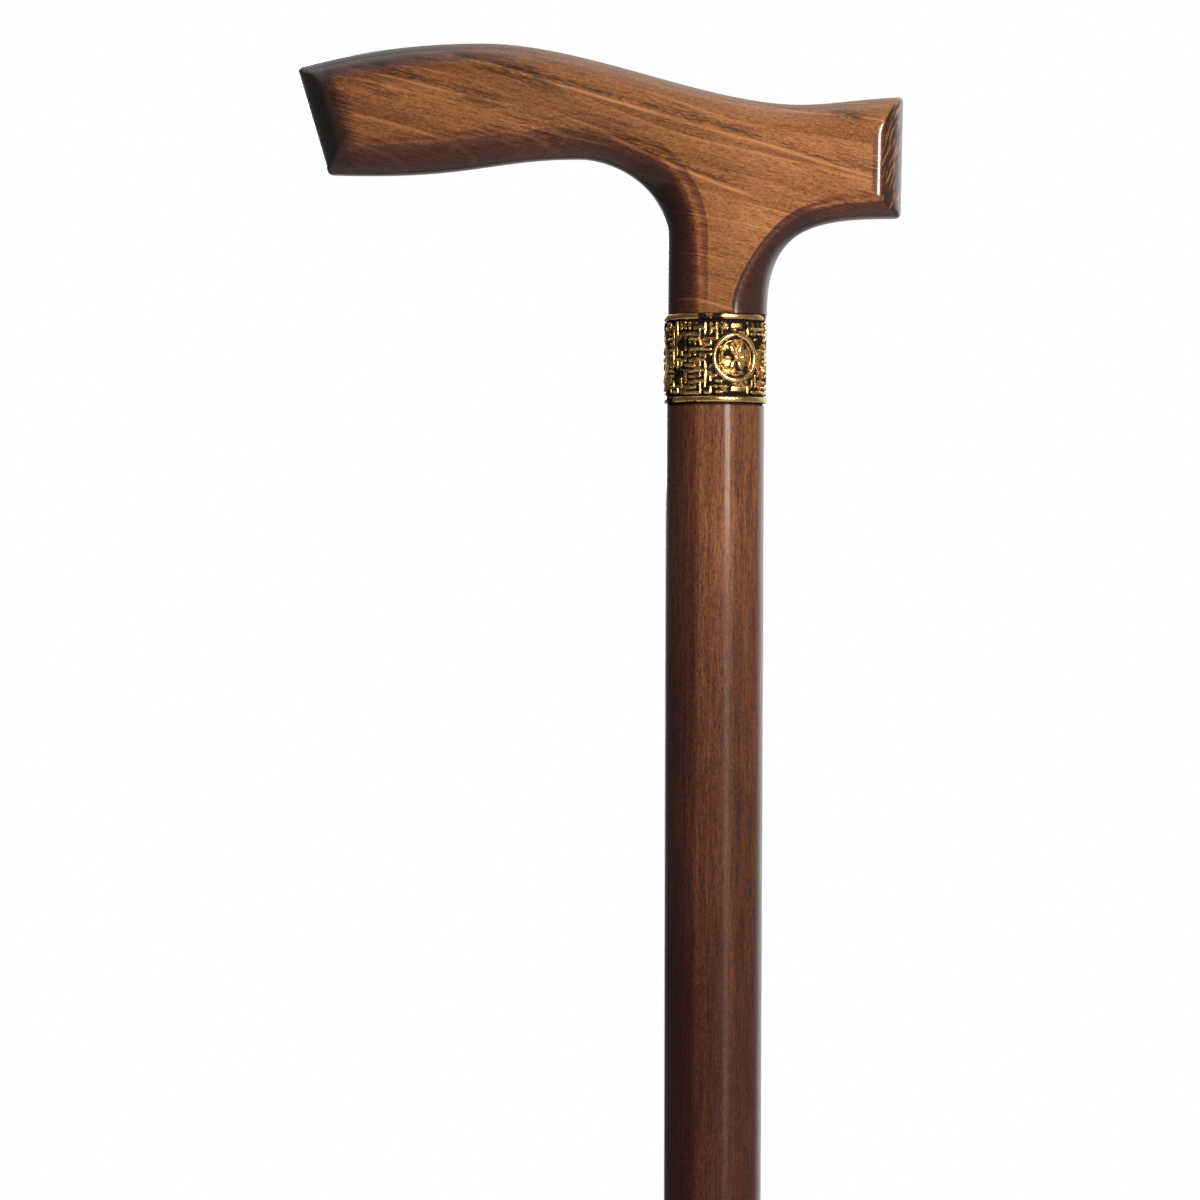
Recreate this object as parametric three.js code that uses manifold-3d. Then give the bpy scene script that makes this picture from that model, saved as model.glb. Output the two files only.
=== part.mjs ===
// A walking cane: a T-shaped wooden handle, a turned wooden shaft, a pressed brass collar over their joint,
// a steel stud inside that joint, and a rubber tip with a steel disc in it.
// Millimetres, +Z up. The origin is the middle of the tip's sole, on the floor, and the shaft's axis is Z.
// The handle's long arm, which the palm rests on, points to -X, and its short heel to +X.

import * as THREE from 'three';
import { mergeVertices } from 'three/addons/utils/BufferGeometryUtils.js';
import Module from 'manifold-3d';

const wasm = await Module();
wasm.setup();

// Overall size and clearances
const caneHeight = 920; // floor to the crown of the handle
const fitGap = 0.15; // radial, in glued and pushed-on fits
const seatGap = 0.1; // between faces that butt

// Shaft
const shaftTopRadius = 11;
const shaftEndRadius = 9;
const taperPower = 1.8; // above 1 the taper is gentle under the collar and stronger towards the tip
const shaftEdge = 0.5; // chamfer of the turned edges

// Collar
const collarHeight = 20;
const collarSheet = 0.65; // brass sheet under the relief
const rimProud = 0.5; // rolled rims, above the sheet
const rimHeight = 1.4;
const rimGroove = 0.25; // depth of the groove beside each rim
const medallionCount = 3;
const medallionTurn = 26; // degrees, from the front towards the heel
const medallionRadius = 4.9; // middle of its ring
const ringWire = 0.6;
const petalCount = 6;
const petalLength = 2.3;
const petalWidth = 1.6;
const fretRows = 5;
const fretRowPitch = 2.85;
const fretPitch = 4.1; // along a row
const fretBar = 1.1; // width of a bar
const fretGap = 0.8;
const reliefProud = 0.6; // above the sheet
const reliefRoot = 0.35; // the ornament reaches this far into the sheet
const seamWidth = 0.25; // butt seam at the back

// Stud
const studRadius = 4;
const studInHandle = 30; // above the plane where the two tenons meet
const studInShaft = 34; // below it
const studTipChamfer = 1;
const studBottomGap = 0.5; // room for glue beyond each end of the stud

// Handle outline seen from the side: reach from the shaft's axis, and height above the collar
const crownReach = 52.75;
const crownHeight = 61.75;
const palmTopReach = 95.35;
const palmTopHeight = 56;
const palmToeReach = 88.05;
const palmToeHeight = 31.8;
const saddleReach = 18.75;
const saddleHeight = 47.85;
const heelTopReach = 41.85;
const heelTopHeight = 49.5;
const heelToeReach = 41.35;
const heelToeHeight = 22.1;
const crookRun = 20.25; // neck's side to the highest point of the palm arm's underside
const crookHeight = 35.5;
const neckStraight = 17.4; // straight side of the neck below the crook
const heelBendRun = 5.65; // neck's side to the middle of the bend under the heel
const heelBendHeight = 17.05;

// Handle section: half thicknesses, and how far each rounded edge reaches in over the side face
const waistHalf = 11.5;
const palmSwell = 1.2; // added to the waist under the palm
const heelSwell = 0.5; // added at the heel
const neckFaceDrop = 0.4; // the neck's flat face lies this far inside the shaft's radius
const neckFaceHalf = 3.8; // half width of that flat face at the collar
const faceCrown = 0.4; // the side faces swell by this in the middle
const crownRound = 7.5;
const palmUnderRound = 6.2;
const heelUnderRound = 4.2;
const endRound = 5.2;
const neckBlend = 24; // height over which the neck's section turns into the arms'
const crownCrease = 80; // degrees turned by a rounded edge when it meets the face; 90 would be tangent
const underCrease = 66;
const endCrease = 58;
const cornerRound = 1.3; // at the handle's four outline corners

// Rubber tip
const tipHeight = 48;
const tipBaseRadius = 19;
const tipSole = 8; // rubber under the steel disc
const tipWall = 2.8; // rubber sleeve round the shaft
const tipBeadProud = 0.9;
const tipBeadHeight = 4;
const tipBaseEdge = 5; // upright edge of the base
const tipFlareHeight = 15; // top of the flare above the floor
const tipRingCount = 3;
const tipRingPitch = 4.2;
const tipRingDepth = 1.1;
const soleGrooveDepth = 1.6;
const soleGrooveWidth = 1.7;
const soleGroovePitch = 4;
const soleGrooveCount = 3;
const soleEdge = 1; // chamfer round the sole
const discThickness = 1.5;

// Facets
const roundSteps = 32; // round the shaft and the tip
const collarSteps = 36;

// Heights worked out from the sizes above
const neckZ = caneHeight - crownHeight;
const collarTopZ = neckZ - seatGap;
const collarBottomZ = collarTopZ - collarHeight;
const shoulderZ = collarBottomZ - seatGap;
const jointZ = collarBottomZ + collarHeight / 2;
const discBottomZ = tipSole + seatGap;
const shaftEndZ = discBottomZ + discThickness + seatGap;
const shaftTopZ = jointZ - seatGap / 2;
const collarBore = shaftTopRadius - collarSheet;
const tenonRadius = collarBore - fitGap;

const lerp = (a, b, t) => a + (b - a) * t;
const smooth = (t) => THREE.MathUtils.smoothstep(t, 0, 1);
const vec = (x, y) => new THREE.Vector2(x, y);

// Solids for joining and cutting
function solidOf(geometry) {
  const plain = geometry.clone();
  plain.deleteAttribute('normal');
  plain.deleteAttribute('uv');
  const merged = mergeVertices(plain, 1e-4);
  return new wasm.Manifold(new wasm.Mesh({
    numProp: 3,
    vertProperties: new Float32Array(merged.attributes.position.array),
    triVerts: new Uint32Array(merged.index.array),
  }));
}

function geometryOf(solid) {
  const mesh = solid.getMesh();
  const geometry = new THREE.BufferGeometry();
  geometry.setAttribute('position', new THREE.BufferAttribute(new Float32Array(mesh.vertProperties), 3));
  geometry.setIndex(new THREE.BufferAttribute(new Uint32Array(mesh.triVerts), 1));
  geometry.computeVertexNormals();
  return geometry;
}

// A profile of [radius, height] pairs turned round Z.
function revolve(profile, steps) {
  const points = profile.map(([r, z]) => vec(r, z));
  return new THREE.LatheGeometry(points, steps).rotateX(Math.PI / 2);
}

function material(color, roughness, metalness) {
  return new THREE.MeshStandardMaterial({ color, roughness, metalness });
}

function part(name, geometry, finish, z = 0) {
  const mesh = new THREE.Mesh(geometry, finish);
  mesh.name = name;
  mesh.position.z = z;
  return mesh;
}

// Shaft radius at a height above the floor.
function shaftRadius(z) {
  const fromTop = THREE.MathUtils.clamp((shoulderZ - z) / (shoulderZ - shaftEndZ), 0, 1);
  return lerp(shaftTopRadius, shaftEndRadius, fromTop ** taperPower);
}

function shaftGeometry() {
  const rings = 12;
  const low = shaftEndZ + shaftEdge;
  const high = shoulderZ - shaftEdge;
  const studBore = studRadius + fitGap;
  const profile = [[0, shaftEndZ], [shaftRadius(low) - shaftEdge, shaftEndZ]];
  for (let i = 0; i <= rings; i++) {
    const z = lerp(low, high, i / rings);
    profile.push([shaftRadius(z), z]);
  }
  profile.push(
    [shaftTopRadius - shaftEdge, shoulderZ],
    [tenonRadius, shoulderZ],
    [tenonRadius, shaftTopZ],
    [studBore, shaftTopZ],
    [studBore, jointZ - studInShaft - studBottomGap],
    [0, jointZ - studInShaft - studBottomGap],
  );
  return revolve(profile, roundSteps);
}

function studGeometry() {
  const low = jointZ - studInShaft;
  const high = jointZ + studInHandle;
  return revolve([
    [0, low],
    [studRadius - studTipChamfer, low],
    [studRadius, low + studTipChamfer],
    [studRadius, high - studTipChamfer],
    [studRadius - studTipChamfer, high],
    [0, high],
  ], roundSteps / 2);
}

// Flat ornament (x round the collar, y up, z out of the sheet) laid on the collar's sheet at a turn from the front.
function wrap(geometry, turn, z) {
  const place = geometry.attributes.position;
  for (let i = 0; i < place.count; i++) {
    const angle = turn + place.getX(i) / shaftTopRadius;
    const radius = shaftTopRadius + place.getZ(i);
    place.setXYZ(i, radius * Math.sin(angle), -radius * Math.cos(angle), z + place.getY(i));
  }
  return geometry;
}

// A low dome, pressed out of the sheet.
function dome(width, length) {
  return new THREE.SphereGeometry(1, 6, 4).scale(width / 2, length / 2, reliefProud);
}

// A bar with sloping sides.
function bar(width, height) {
  const block = new THREE.CylinderGeometry(0.8, 1, reliefRoot + reliefProud, 4, 1);
  block.rotateY(Math.PI / 4).rotateX(Math.PI / 2);
  return block.scale(width / Math.SQRT2, height / Math.SQRT2, 1).translate(0, 0, (reliefProud - reliefRoot) / 2);
}

function collarGeometry() {
  const outer = shaftTopRadius;
  const rim = outer + rimProud;
  const half = collarHeight / 2;
  const profile = [[collarBore, -half], [outer, -half]];
  const edge = [
    [rim, half - 0.3 * rimHeight],
    [rim, half - 0.7 * rimHeight],
    [outer, half - rimHeight],
    [outer - rimGroove, half - 1.2 * rimHeight],
    [outer, half - 1.4 * rimHeight],
  ];
  profile.push(...edge.map(([r, z]) => [r, -z]), ...edge.toReversed());
  profile.push([outer, half], [collarBore, half], [collarBore, -half]);
  let solid = solidOf(revolve(profile, collarSteps));

  const add = (geometry, turn) => {
    solid = solid.add(solidOf(wrap(geometry, turn, 0)));
  };
  const pitch = (2 * Math.PI) / medallionCount;
  const start = THREE.MathUtils.degToRad(medallionTurn);
  const clear = medallionRadius + ringWire + fretGap;
  for (let i = 0; i < medallionCount; i++) {
    const turn = start + i * pitch;
    add(new THREE.TorusGeometry(medallionRadius, ringWire, 4, 20), turn);
    add(dome(petalWidth, petalWidth), turn);
    for (let k = 0; k < petalCount; k++) {
      const reach = (petalWidth + petalLength) / 2;
      add(dome(petalWidth, petalLength).translate(0, reach, 0).rotateZ((k / petalCount) * 2 * Math.PI), turn);
    }
    // Rows of hooks fill the field between this medallion and the next.
    const between = turn + pitch / 2;
    for (let row = 0; row < fretRows; row++) {
      const y = (row - (fretRows - 1) / 2) * fretRowPitch;
      const medallionHalf = Math.sqrt(Math.max(0, clear ** 2 - y ** 2));
      const room = 0.5 * pitch * outer - Math.max(medallionHalf, fretGap / 2);
      const count = Math.floor((2 * room + fretGap) / fretPitch);
      for (let k = 0; k < count; k++) {
        const x = (k - (count - 1) / 2) * fretPitch;
        const hand = row % 2 ? 1 : -1;
        add(bar(fretPitch - fretGap, fretBar).translate(x, y, 0), between);
        if (row === fretRows - 1) continue;
        const post = bar(fretBar, fretRowPitch).translate(x + hand * (fretPitch - fretGap - fretBar) / 2, y + fretRowPitch / 2, 0);
        add(post, between);
      }
    }
  }
  const seam = new THREE.BoxGeometry(seamWidth, 4 * (collarSheet + rimProud), 2 * collarHeight);
  return geometryOf(solid.subtract(solidOf(seam.translate(0, outer, 0))));
}

// A cubic curve in the handle's side view that leaves one point along a lead and arrives at another along its lead.
function bend(from, leadOut, to, leadIn) {
  return new THREE.CubicBezierCurve(from, from.clone().add(leadOut), to.clone().sub(leadIn), to);
}

// Handle outline pieces, all travelling towards the heel.
const neckHalf = shaftTopRadius;
const palmTop = vec(-palmTopReach, palmTopHeight);
const palmToe = vec(-palmToeReach, palmToeHeight);
const crown = vec(-crownReach, crownHeight);
const saddle = vec(saddleReach, saddleHeight);
const heelTop = vec(heelTopReach, heelTopHeight);
const heelToe = vec(heelToeReach, heelToeHeight);
const crook = vec(-neckHalf - crookRun, crookHeight);
const crookEnd = vec(-neckHalf, neckStraight);
const heelBend = vec(neckHalf + heelBendRun, heelBendHeight);
const neckLeft = vec(-neckHalf, 0);
const neckRight = vec(neckHalf, 0);
const crownPieces = [
  bend(palmTop, vec(14.85, 4.2), crown, vec(13.25, 0)),
  bend(crown, vec(23, 0), saddle, vec(21, 0)),
  bend(saddle, vec(7.5, 0), heelTop, vec(9.6, 0.3)),
];
const palmUnderPieces = [bend(palmToe, vec(32.4, -1.1), crook, vec(20, 0))];
const crookPieces = [bend(crook, vec(8.4, 0), crookEnd, vec(0, -11.3))];
const neckSidePieces = [new THREE.LineCurve(crookEnd, neckLeft)];
const heelBendPieces = [bend(neckRight, vec(0, 8.5), heelBend, vec(3.7, 3.4))];
const heelUnderPieces = [bend(heelBend, vec(5.4, 5), heelToe, vec(8.6, 0.1))];

// Steps along the handle, paired between its underside and its crown, and where the crown's groups end.
const groupSteps = [14, 10, 3, 3, 6, 6];
const crownBreaks = [-36, -3.2, -2.2, 4, 21];
const cornerSteps = 1;
const acrossSteps = 6;
const levelShares = [0, 0.3, 0.56, 0.77, 0.92, 1];

// How far a rounded edge has reached in, as a share, at a share of the half thickness.
function roundShare(share, crease) {
  const angle = THREE.MathUtils.degToRad(crease);
  const sine = share * Math.sin(angle);
  return (1 - Math.sqrt(1 - sine * sine)) / (1 - Math.cos(angle));
}

function halfThickness(p) {
  const palm = palmSwell * smooth((-p.x - neckHalf) / (crownReach - neckHalf));
  const heel = heelSwell * smooth((p.x - neckHalf) / (heelTopReach - neckHalf));
  return lerp(shaftTopRadius - neckFaceDrop, waistHalf + palm + heel, smooth(p.y / neckBlend));
}

function underRound(p) {
  const arm = p.x < 0 ? palmUnderRound : heelUnderRound;
  return lerp(neckHalf - neckFaceHalf, arm, smooth(p.y / neckBlend));
}

// Points of the pieces moved in from the outline. side is -1 for the crown and 1 for the underside.
function movedIn(pieces, side, reachAt) {
  const steps = 40;
  const points = [];
  for (const piece of pieces) {
    for (let i = points.length ? 1 : 0; i <= steps; i++) {
      const p = piece.getPoint(i / steps);
      const t = piece.getTangent(i / steps);
      points.push(p.clone().add(vec(-t.y, t.x).multiplyScalar(side * reachAt(p))));
    }
  }
  return points;
}

// The part of a polyline on which a measure is above a limit, with its ends on the limit.
function trimmed(points, measure, limit) {
  const kept = [];
  for (let i = 0; i < points.length; i++) {
    const here = measure(points[i]) - limit;
    const before = i ? measure(points[i - 1]) - limit : here;
    if (here * before < 0) kept.push(points[i - 1].clone().lerp(points[i], before / (before - here)));
    if (here >= 0) kept.push(points[i]);
  }
  return kept;
}

// A polyline's points at equal distances, from one distance to another, which counts back from the end if negative.
function spread(points, steps, from = 0, to = 0) {
  const reach = [0];
  points.slice(1).forEach((p, i) => reach.push(reach[i] + p.distanceTo(points[i])));
  const last = reach.at(-1) + to;
  const found = [];
  for (let k = 0; k <= steps; k++) {
    const d = lerp(from, last, k / steps);
    const i = Math.max(1, reach.findIndex((r) => r >= d - 1e-9));
    found.push(points[i - 1].clone().lerp(points[i], (d - reach[i - 1]) / (reach[i] - reach[i - 1])));
  }
  return found;
}

// Distance of a point inside the straight end cut that runs from one corner to another, heel side or palm side.
function insideCut(a, b) {
  const along = b.clone().sub(a).normalize();
  return (p) => (p.x - a.x) * along.y - (p.y - a.y) * along.x;
}
const insidePalmCut = insideCut(palmToe, palmTop);
const insideHeelCut = insideCut(heelTop, heelToe);

// Points round a corner, from the cut-back point on a long row to the middle of the corner.
function corner(rowPoint, tip, endPoint) {
  const found = [];
  for (let i = 0; i < cornerSteps; i++) {
    const t = 0.5 * (1 - i / cornerSteps);
    const onRow = rowPoint.clone().lerp(tip, t);
    found.push(onRow.lerp(tip.clone().lerp(endPoint, t), t));
  }
  return found;
}

// One level of the handle's rounded edge: its crown row, its underside row and its two end columns.
function handleLevel(share) {
  const endReach = endRound * roundShare(share, endCrease);
  const crownReachIn = () => crownRound * roundShare(share, crownCrease);
  const underReachIn = (p) => underRound(p) * roundShare(share, underCrease);
  const inPalm = (points) => trimmed(points, insidePalmCut, endReach);
  const inHeel = (points) => trimmed(points, insideHeelCut, endReach);

  const top = inHeel(inPalm(movedIn(crownPieces, -1, crownReachIn)));
  const palmUnder = inPalm(movedIn(palmUnderPieces, 1, underReachIn));
  const crookSide = movedIn(crookPieces, 1, underReachIn);
  const neckSide = movedIn(neckSidePieces, 1, underReachIn);
  const bendSide = movedIn(heelBendPieces, 1, underReachIn);
  const heelUnder = inHeel(movedIn(heelUnderPieces, 1, underReachIn));

  const neckEnd = [neckSide.at(-1), bendSide[0]];
  const groups = [palmUnder, crookSide, neckSide, neckEnd, bendSide, heelUnder];
  const edges = [-Infinity, ...crownBreaks, Infinity];
  const topGroups = groups.map((_, i) => {
    const afterStart = trimmed(top, (p) => p.x, edges[i]);
    return trimmed(afterStart, (p) => -p.x, -edges[i + 1]);
  });
  const rowOf = (parts) => {
    const last = parts.length - 1;
    return parts.flatMap((points, i) => {
      const cutStart = i === 0 ? cornerRound : 0;
      const cutEnd = i === last ? -cornerRound : 0;
      const found = spread(points, groupSteps[i], cutStart, cutEnd);
      return i === last ? found : found.slice(0, -1);
    });
  };
  const crownRow = rowOf(topGroups);
  const underRow = rowOf(groups);
  const endColumn = (topTip, toeTip) => spread([topTip, toeTip], acrossSteps - 2 * cornerSteps, cornerRound, -cornerRound);
  const palmColumn = endColumn(top[0], palmUnder[0]);
  const heelColumn = endColumn(top.at(-1), heelUnder.at(-1));

  const palmTopCorner = corner(crownRow[0], top[0], palmColumn[0]);
  const palmToeCorner = corner(underRow[0], palmUnder[0], palmColumn.at(-1));
  const heelTopCorner = corner(crownRow.at(-1), top.at(-1), heelColumn[0]);
  const heelToeCorner = corner(underRow.at(-1), heelUnder.at(-1), heelColumn.at(-1));
  return {
    crown: [...palmTopCorner, ...crownRow, ...heelTopCorner.toReversed()],
    under: [...palmToeCorner, ...underRow, ...heelToeCorner.toReversed()],
    palm: palmColumn,
    heel: heelColumn,
  };
}

// The handle's wooden body, without its tenon and bore, as one closed mesh. Its neck ends at height 0.
function handleBody() {
  const levels = levelShares.map(handleLevel);
  const rowLength = levels[0].crown.length;
  const loopOf = (level) => [
    ...level.crown, ...level.heel, ...level.under.toReversed(), ...level.palm.toReversed(),
  ];
  const positions = [];
  const index = [];
  const addPoint = (p, y) => positions.push(p.x, y, p.y) / 3 - 1;
  const quad = (a, b, c, d) => index.push(a, b, c, a, c, d);

  // Loops from the front face, through the outline at the middle, to the back face.
  const order = [...levelShares.keys()].toReversed().map((k) => [k, -1]);
  order.push(...[...levelShares.keys()].slice(1).map((k) => [k, 1]));
  const loops = order.map(([k, side]) => loopOf(levels[k]).map((p) => (
    addPoint(p, side * levelShares[k] * halfThickness(p))
  )));
  for (let k = 1; k < loops.length; k++) {
    loops[k].forEach((_, i) => {
      const next = (i + 1) % loops[k].length;
      quad(loops[k - 1][i], loops[k - 1][next], loops[k][next], loops[k][i]);
    });
  }

  // Side faces, ruled from the crown row to the underside row and a little swollen.
  const face = levels.at(-1);
  const heelStart = rowLength;
  const underStart = heelStart + face.heel.length;
  const palmStart = underStart + rowLength;
  [[loops[0], -1], [loops.at(-1), 1]].forEach(([loop, side]) => {
    const at = (i, j) => {
      if (j === 0) return loop[i];
      if (j === acrossSteps) return loop[underStart + rowLength - 1 - i];
      if (i === 0) return loop[palmStart + face.palm.length - j];
      if (i === rowLength - 1) return loop[heelStart + j - 1];
      return null;
    };
    const grid = face.crown.map((top, i) => {
      const column = [];
      for (let j = 0; j <= acrossSteps; j++) {
        const across = j / acrossSteps;
        const p = top.clone().lerp(face.under[i], across);
        const alongFade = Math.min(1, Math.min(i, rowLength - 1 - i) / 4);
        const swell = faceCrown * 4 * across * (1 - across) * alongFade;
        column.push(at(i, j) ?? addPoint(p, side * (halfThickness(p) + swell)));
      }
      return column;
    });
    for (let i = 1; i < rowLength; i++) {
      for (let j = 1; j <= acrossSteps; j++) {
        const corners = [grid[i - 1][j - 1], grid[i - 1][j], grid[i][j], grid[i][j - 1]];
        quad(...(side < 0 ? corners : corners.toReversed()));
      }
    }
  });
  const geometry = new THREE.BufferGeometry();
  geometry.setAttribute('position', new THREE.Float32BufferAttribute(positions, 3));
  geometry.setIndex(index);
  return geometry;
}

function handleGeometry() {
  const tenonEnd = jointZ + seatGap / 2 - neckZ;
  const boreEnd = jointZ + studInHandle + studBottomGap - neckZ;
  const insideBody = 4; // the tenon starts this far up inside the neck
  const tenon = revolve([
    [0, tenonEnd], [tenonRadius, tenonEnd], [tenonRadius, insideBody], [0, insideBody],
  ], roundSteps);
  const bore = revolve([
    [0, tenonEnd - 1], [studRadius + fitGap, tenonEnd - 1], [studRadius + fitGap, boreEnd], [0, boreEnd],
  ], roundSteps / 2);
  return geometryOf(solidOf(handleBody()).add(solidOf(tenon)).subtract(solidOf(bore)));
}

function discGeometry() {
  const radius = shaftEndRadius - fitGap;
  const edge = discThickness / 5;
  return revolve([
    [0, 0], [radius - edge, 0], [radius, edge],
    [radius, discThickness - edge], [radius - edge, discThickness], [0, discThickness],
  ], roundSteps);
}

function tipGeometry() {
  const sleeve = shaftRadius(tipHeight) + fitGap + tipWall;
  const bead = sleeve + tipBeadProud;
  const ringsTop = tipFlareHeight + tipRingCount * tipRingPitch;
  const sole = [[0, 0]];
  for (let i = 1; i <= soleGrooveCount; i++) {
    const middle = i * soleGroovePitch + soleGrooveWidth / 2;
    const wide = soleGrooveWidth / 2;
    const narrow = 0.6 * wide;
    sole.push(
      [middle - wide, 0], [middle - narrow, soleGrooveDepth],
      [middle + narrow, soleGrooveDepth], [middle + wide, 0],
    );
  }
  const outside = [
    [tipBaseRadius - soleEdge, 0], [tipBaseRadius, soleEdge], [tipBaseRadius, tipBaseEdge],
  ];
  const flareSteps = 4;
  const flareTop = sleeve + tipRingDepth;
  for (let i = 1; i <= flareSteps; i++) {
    const turn = (i / flareSteps) * (Math.PI / 2);
    outside.push([
      lerp(tipBaseRadius, flareTop, Math.sin(turn)),
      lerp(tipBaseEdge, tipFlareHeight, 1 - Math.cos(turn)),
    ]);
  }
  for (let i = 0; i < tipRingCount; i++) {
    const z = tipFlareHeight + i * tipRingPitch;
    outside.push(
      [sleeve, z + 0.15 * tipRingPitch], [sleeve, z + 0.4 * tipRingPitch],
      [flareTop, z + 0.55 * tipRingPitch], [flareTop, z + tipRingPitch],
    );
  }
  outside.push(
    [sleeve, ringsTop + 0.3 * tipRingPitch],
    [sleeve, tipHeight - tipBeadHeight], [bead, tipHeight - 0.7 * tipBeadHeight],
    [bead, tipHeight - 0.25 * tipBeadHeight], [bead - 0.25 * tipBeadHeight, tipHeight],
  );
  const boreAt = (z) => shaftRadius(z) + fitGap;
  const inside = [
    [boreAt(tipHeight) + shaftEdge, tipHeight], [boreAt(tipHeight - shaftEdge), tipHeight - shaftEdge],
    [boreAt(shaftEndZ), shaftEndZ], [shaftEndRadius + fitGap, tipSole], [0, tipSole],
  ];
  return revolve([...sole, ...outside, ...inside], roundSteps);
}

const wood = material(0x84552f, 0.32, 0);
const shaftWood = material(0x5f3a28, 0.34, 0);
const brass = material(0xb0843a, 0.35, 1);
const steel = material(0x9a9c9e, 0.4, 1);
const rubber = material(0x1b1b1c, 0.85, 0);

const cane = new THREE.Group();
cane.add(
  part('handle', handleGeometry(), wood, neckZ),
  part('shaft', shaftGeometry(), shaftWood),
  part('collar', collarGeometry(), brass, collarBottomZ + collarHeight / 2),
  part('joint_stud', studGeometry(), steel),
);
const tip = new THREE.Group();
tip.add(
  part('rubber_tip', tipGeometry(), rubber),
  part('steel_disc', discGeometry(), steel, discBottomZ),
);
cane.add(tip);

export default cane;
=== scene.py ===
# A walking cane: varnished beech handle and shaft, a pressed brass collar and a rubber tip.
import math

import bmesh
import bpy
import numpy as np
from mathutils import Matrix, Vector, kdtree


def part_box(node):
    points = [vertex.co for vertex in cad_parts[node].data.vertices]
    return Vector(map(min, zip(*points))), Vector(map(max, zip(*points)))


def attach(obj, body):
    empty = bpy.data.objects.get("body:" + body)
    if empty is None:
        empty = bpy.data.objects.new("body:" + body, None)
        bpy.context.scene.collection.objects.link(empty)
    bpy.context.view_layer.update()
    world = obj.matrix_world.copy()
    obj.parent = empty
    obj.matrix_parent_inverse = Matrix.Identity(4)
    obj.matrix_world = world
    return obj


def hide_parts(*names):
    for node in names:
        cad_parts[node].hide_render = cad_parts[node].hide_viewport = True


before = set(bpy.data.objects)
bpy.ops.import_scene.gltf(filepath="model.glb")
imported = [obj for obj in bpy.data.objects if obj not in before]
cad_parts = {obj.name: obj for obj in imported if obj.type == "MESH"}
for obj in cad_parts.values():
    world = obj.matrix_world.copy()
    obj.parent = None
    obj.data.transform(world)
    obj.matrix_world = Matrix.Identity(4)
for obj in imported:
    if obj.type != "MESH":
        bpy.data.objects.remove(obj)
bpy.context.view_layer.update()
mm = 0.001
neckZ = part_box("collar")[1].z + 0.1 * mm  # the plane where the handle's neck meets the collar, almost touching
print("stage: frame loaded, neck at", round(neckZ, 5))


# Node trees, for shaders and for geometry

def sums(operation, swapped=False):
    def method(self, other):
        return self.net.math(operation, *((other, self) if swapped else (self, other)))
    return method


class Wire:  # a socket that takes part in sums
    def __init__(self, net, socket):
        self.net = net
        self.socket = socket

    __add__ = __radd__ = sums("ADD")
    __mul__ = __rmul__ = sums("MULTIPLY")
    __sub__, __rsub__ = sums("SUBTRACT"), sums("SUBTRACT", swapped=True)
    __truediv__, __rtruediv__ = sums("DIVIDE"), sums("DIVIDE", swapped=True)
    __pow__, __gt__, __lt__ = sums("POWER"), sums("GREATER_THAN"), sums("LESS_THAN")

    def out(self, name):  # another output of the same node
        return Wire(self.net, self.socket.node.outputs[name])


class Net:  # one node tree
    def __init__(self, tree):
        self.tree = tree

    def node(self, kind, settings=None, inputs=None, out=0):
        made = self.tree.nodes.new(kind)
        for key, value in (settings or {}).items():
            setattr(made, key, value)
        for key, value in (inputs or {}).items():
            wires = [value] if isinstance(value, Wire) else value
            if isinstance(wires, (list, tuple)) and isinstance(wires[0], Wire):
                for wire in wires:
                    self.tree.links.new(wire.socket, made.inputs[key])
            else:
                made.inputs[key].default_value = value
        return Wire(self, made.outputs[out]) if made.outputs else made

    def math(self, operation, *values):
        return self.node("ShaderNodeMath", {"operation": operation}, dict(enumerate(values)))

    def vector(self, operation, *values, out=0):
        return self.node("ShaderNodeVectorMath", {"operation": operation}, dict(enumerate(values)), out)

    def join(self, x, y, z):
        return self.node("ShaderNodeCombineXYZ", inputs={0: x, 1: y, 2: z})

    def split(self, value):
        parts = self.node("ShaderNodeSeparateXYZ", inputs={0: value})
        return parts.out("X"), parts.out("Y"), parts.out("Z")

    def remap(self, value, low, high, toLow=0.0, toHigh=1.0, shape="LINEAR"):
        inputs = {0: value, 1: low, 2: high, 3: toLow, 4: toHigh}
        return self.node("ShaderNodeMapRange", {"interpolation_type": shape}, inputs)

    def eased(self, value, low, high, toLow=0.0, toHigh=1.0):
        return self.remap(value, low, high, toLow, toHigh, "SMOOTHSTEP")

    def mix(self, factor, a, b, blend="MIX"):
        settings = {"data_type": "RGBA", "blend_type": blend}
        return self.node("ShaderNodeMix", settings, {0: factor, 6: a, 7: b}, out=2)

    def tint(self, factor, color, tone):  # the colour times a tone, as far as the factor says
        return self.mix(factor, color, self.mix(1.0, color, tone, "MULTIPLY"))

    def noise(self, place, detail=2.0, roughness=0.5, scale=1.0):
        inputs = {"Vector": place, "Scale": scale, "Detail": detail, "Roughness": roughness}
        return self.node("ShaderNodeTexNoise", inputs=inputs)

    def place(self):  # where a point is on its object, in metres
        return self.node("ShaderNodeTexCoord", out="Object")

    def millimetres(self, place):
        return self.vector("MULTIPLY", place, (1000.0, 1000.0, 1000.0))

    def turned(self, place, *degrees):
        turn = tuple(math.radians(angle) for angle in degrees)
        return self.node("ShaderNodeMapping", inputs={"Vector": place, "Rotation": turn})

    def attribute(self, label):  # a value that the mesh carries
        return self.node("ShaderNodeAttribute", {"attribute_name": label}, out="Fac")

    def bump(self, strength, distance, height):
        inputs = {"Strength": strength, "Distance": distance, "Height": height}
        return self.node("ShaderNodeBump", inputs=inputs)


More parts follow.
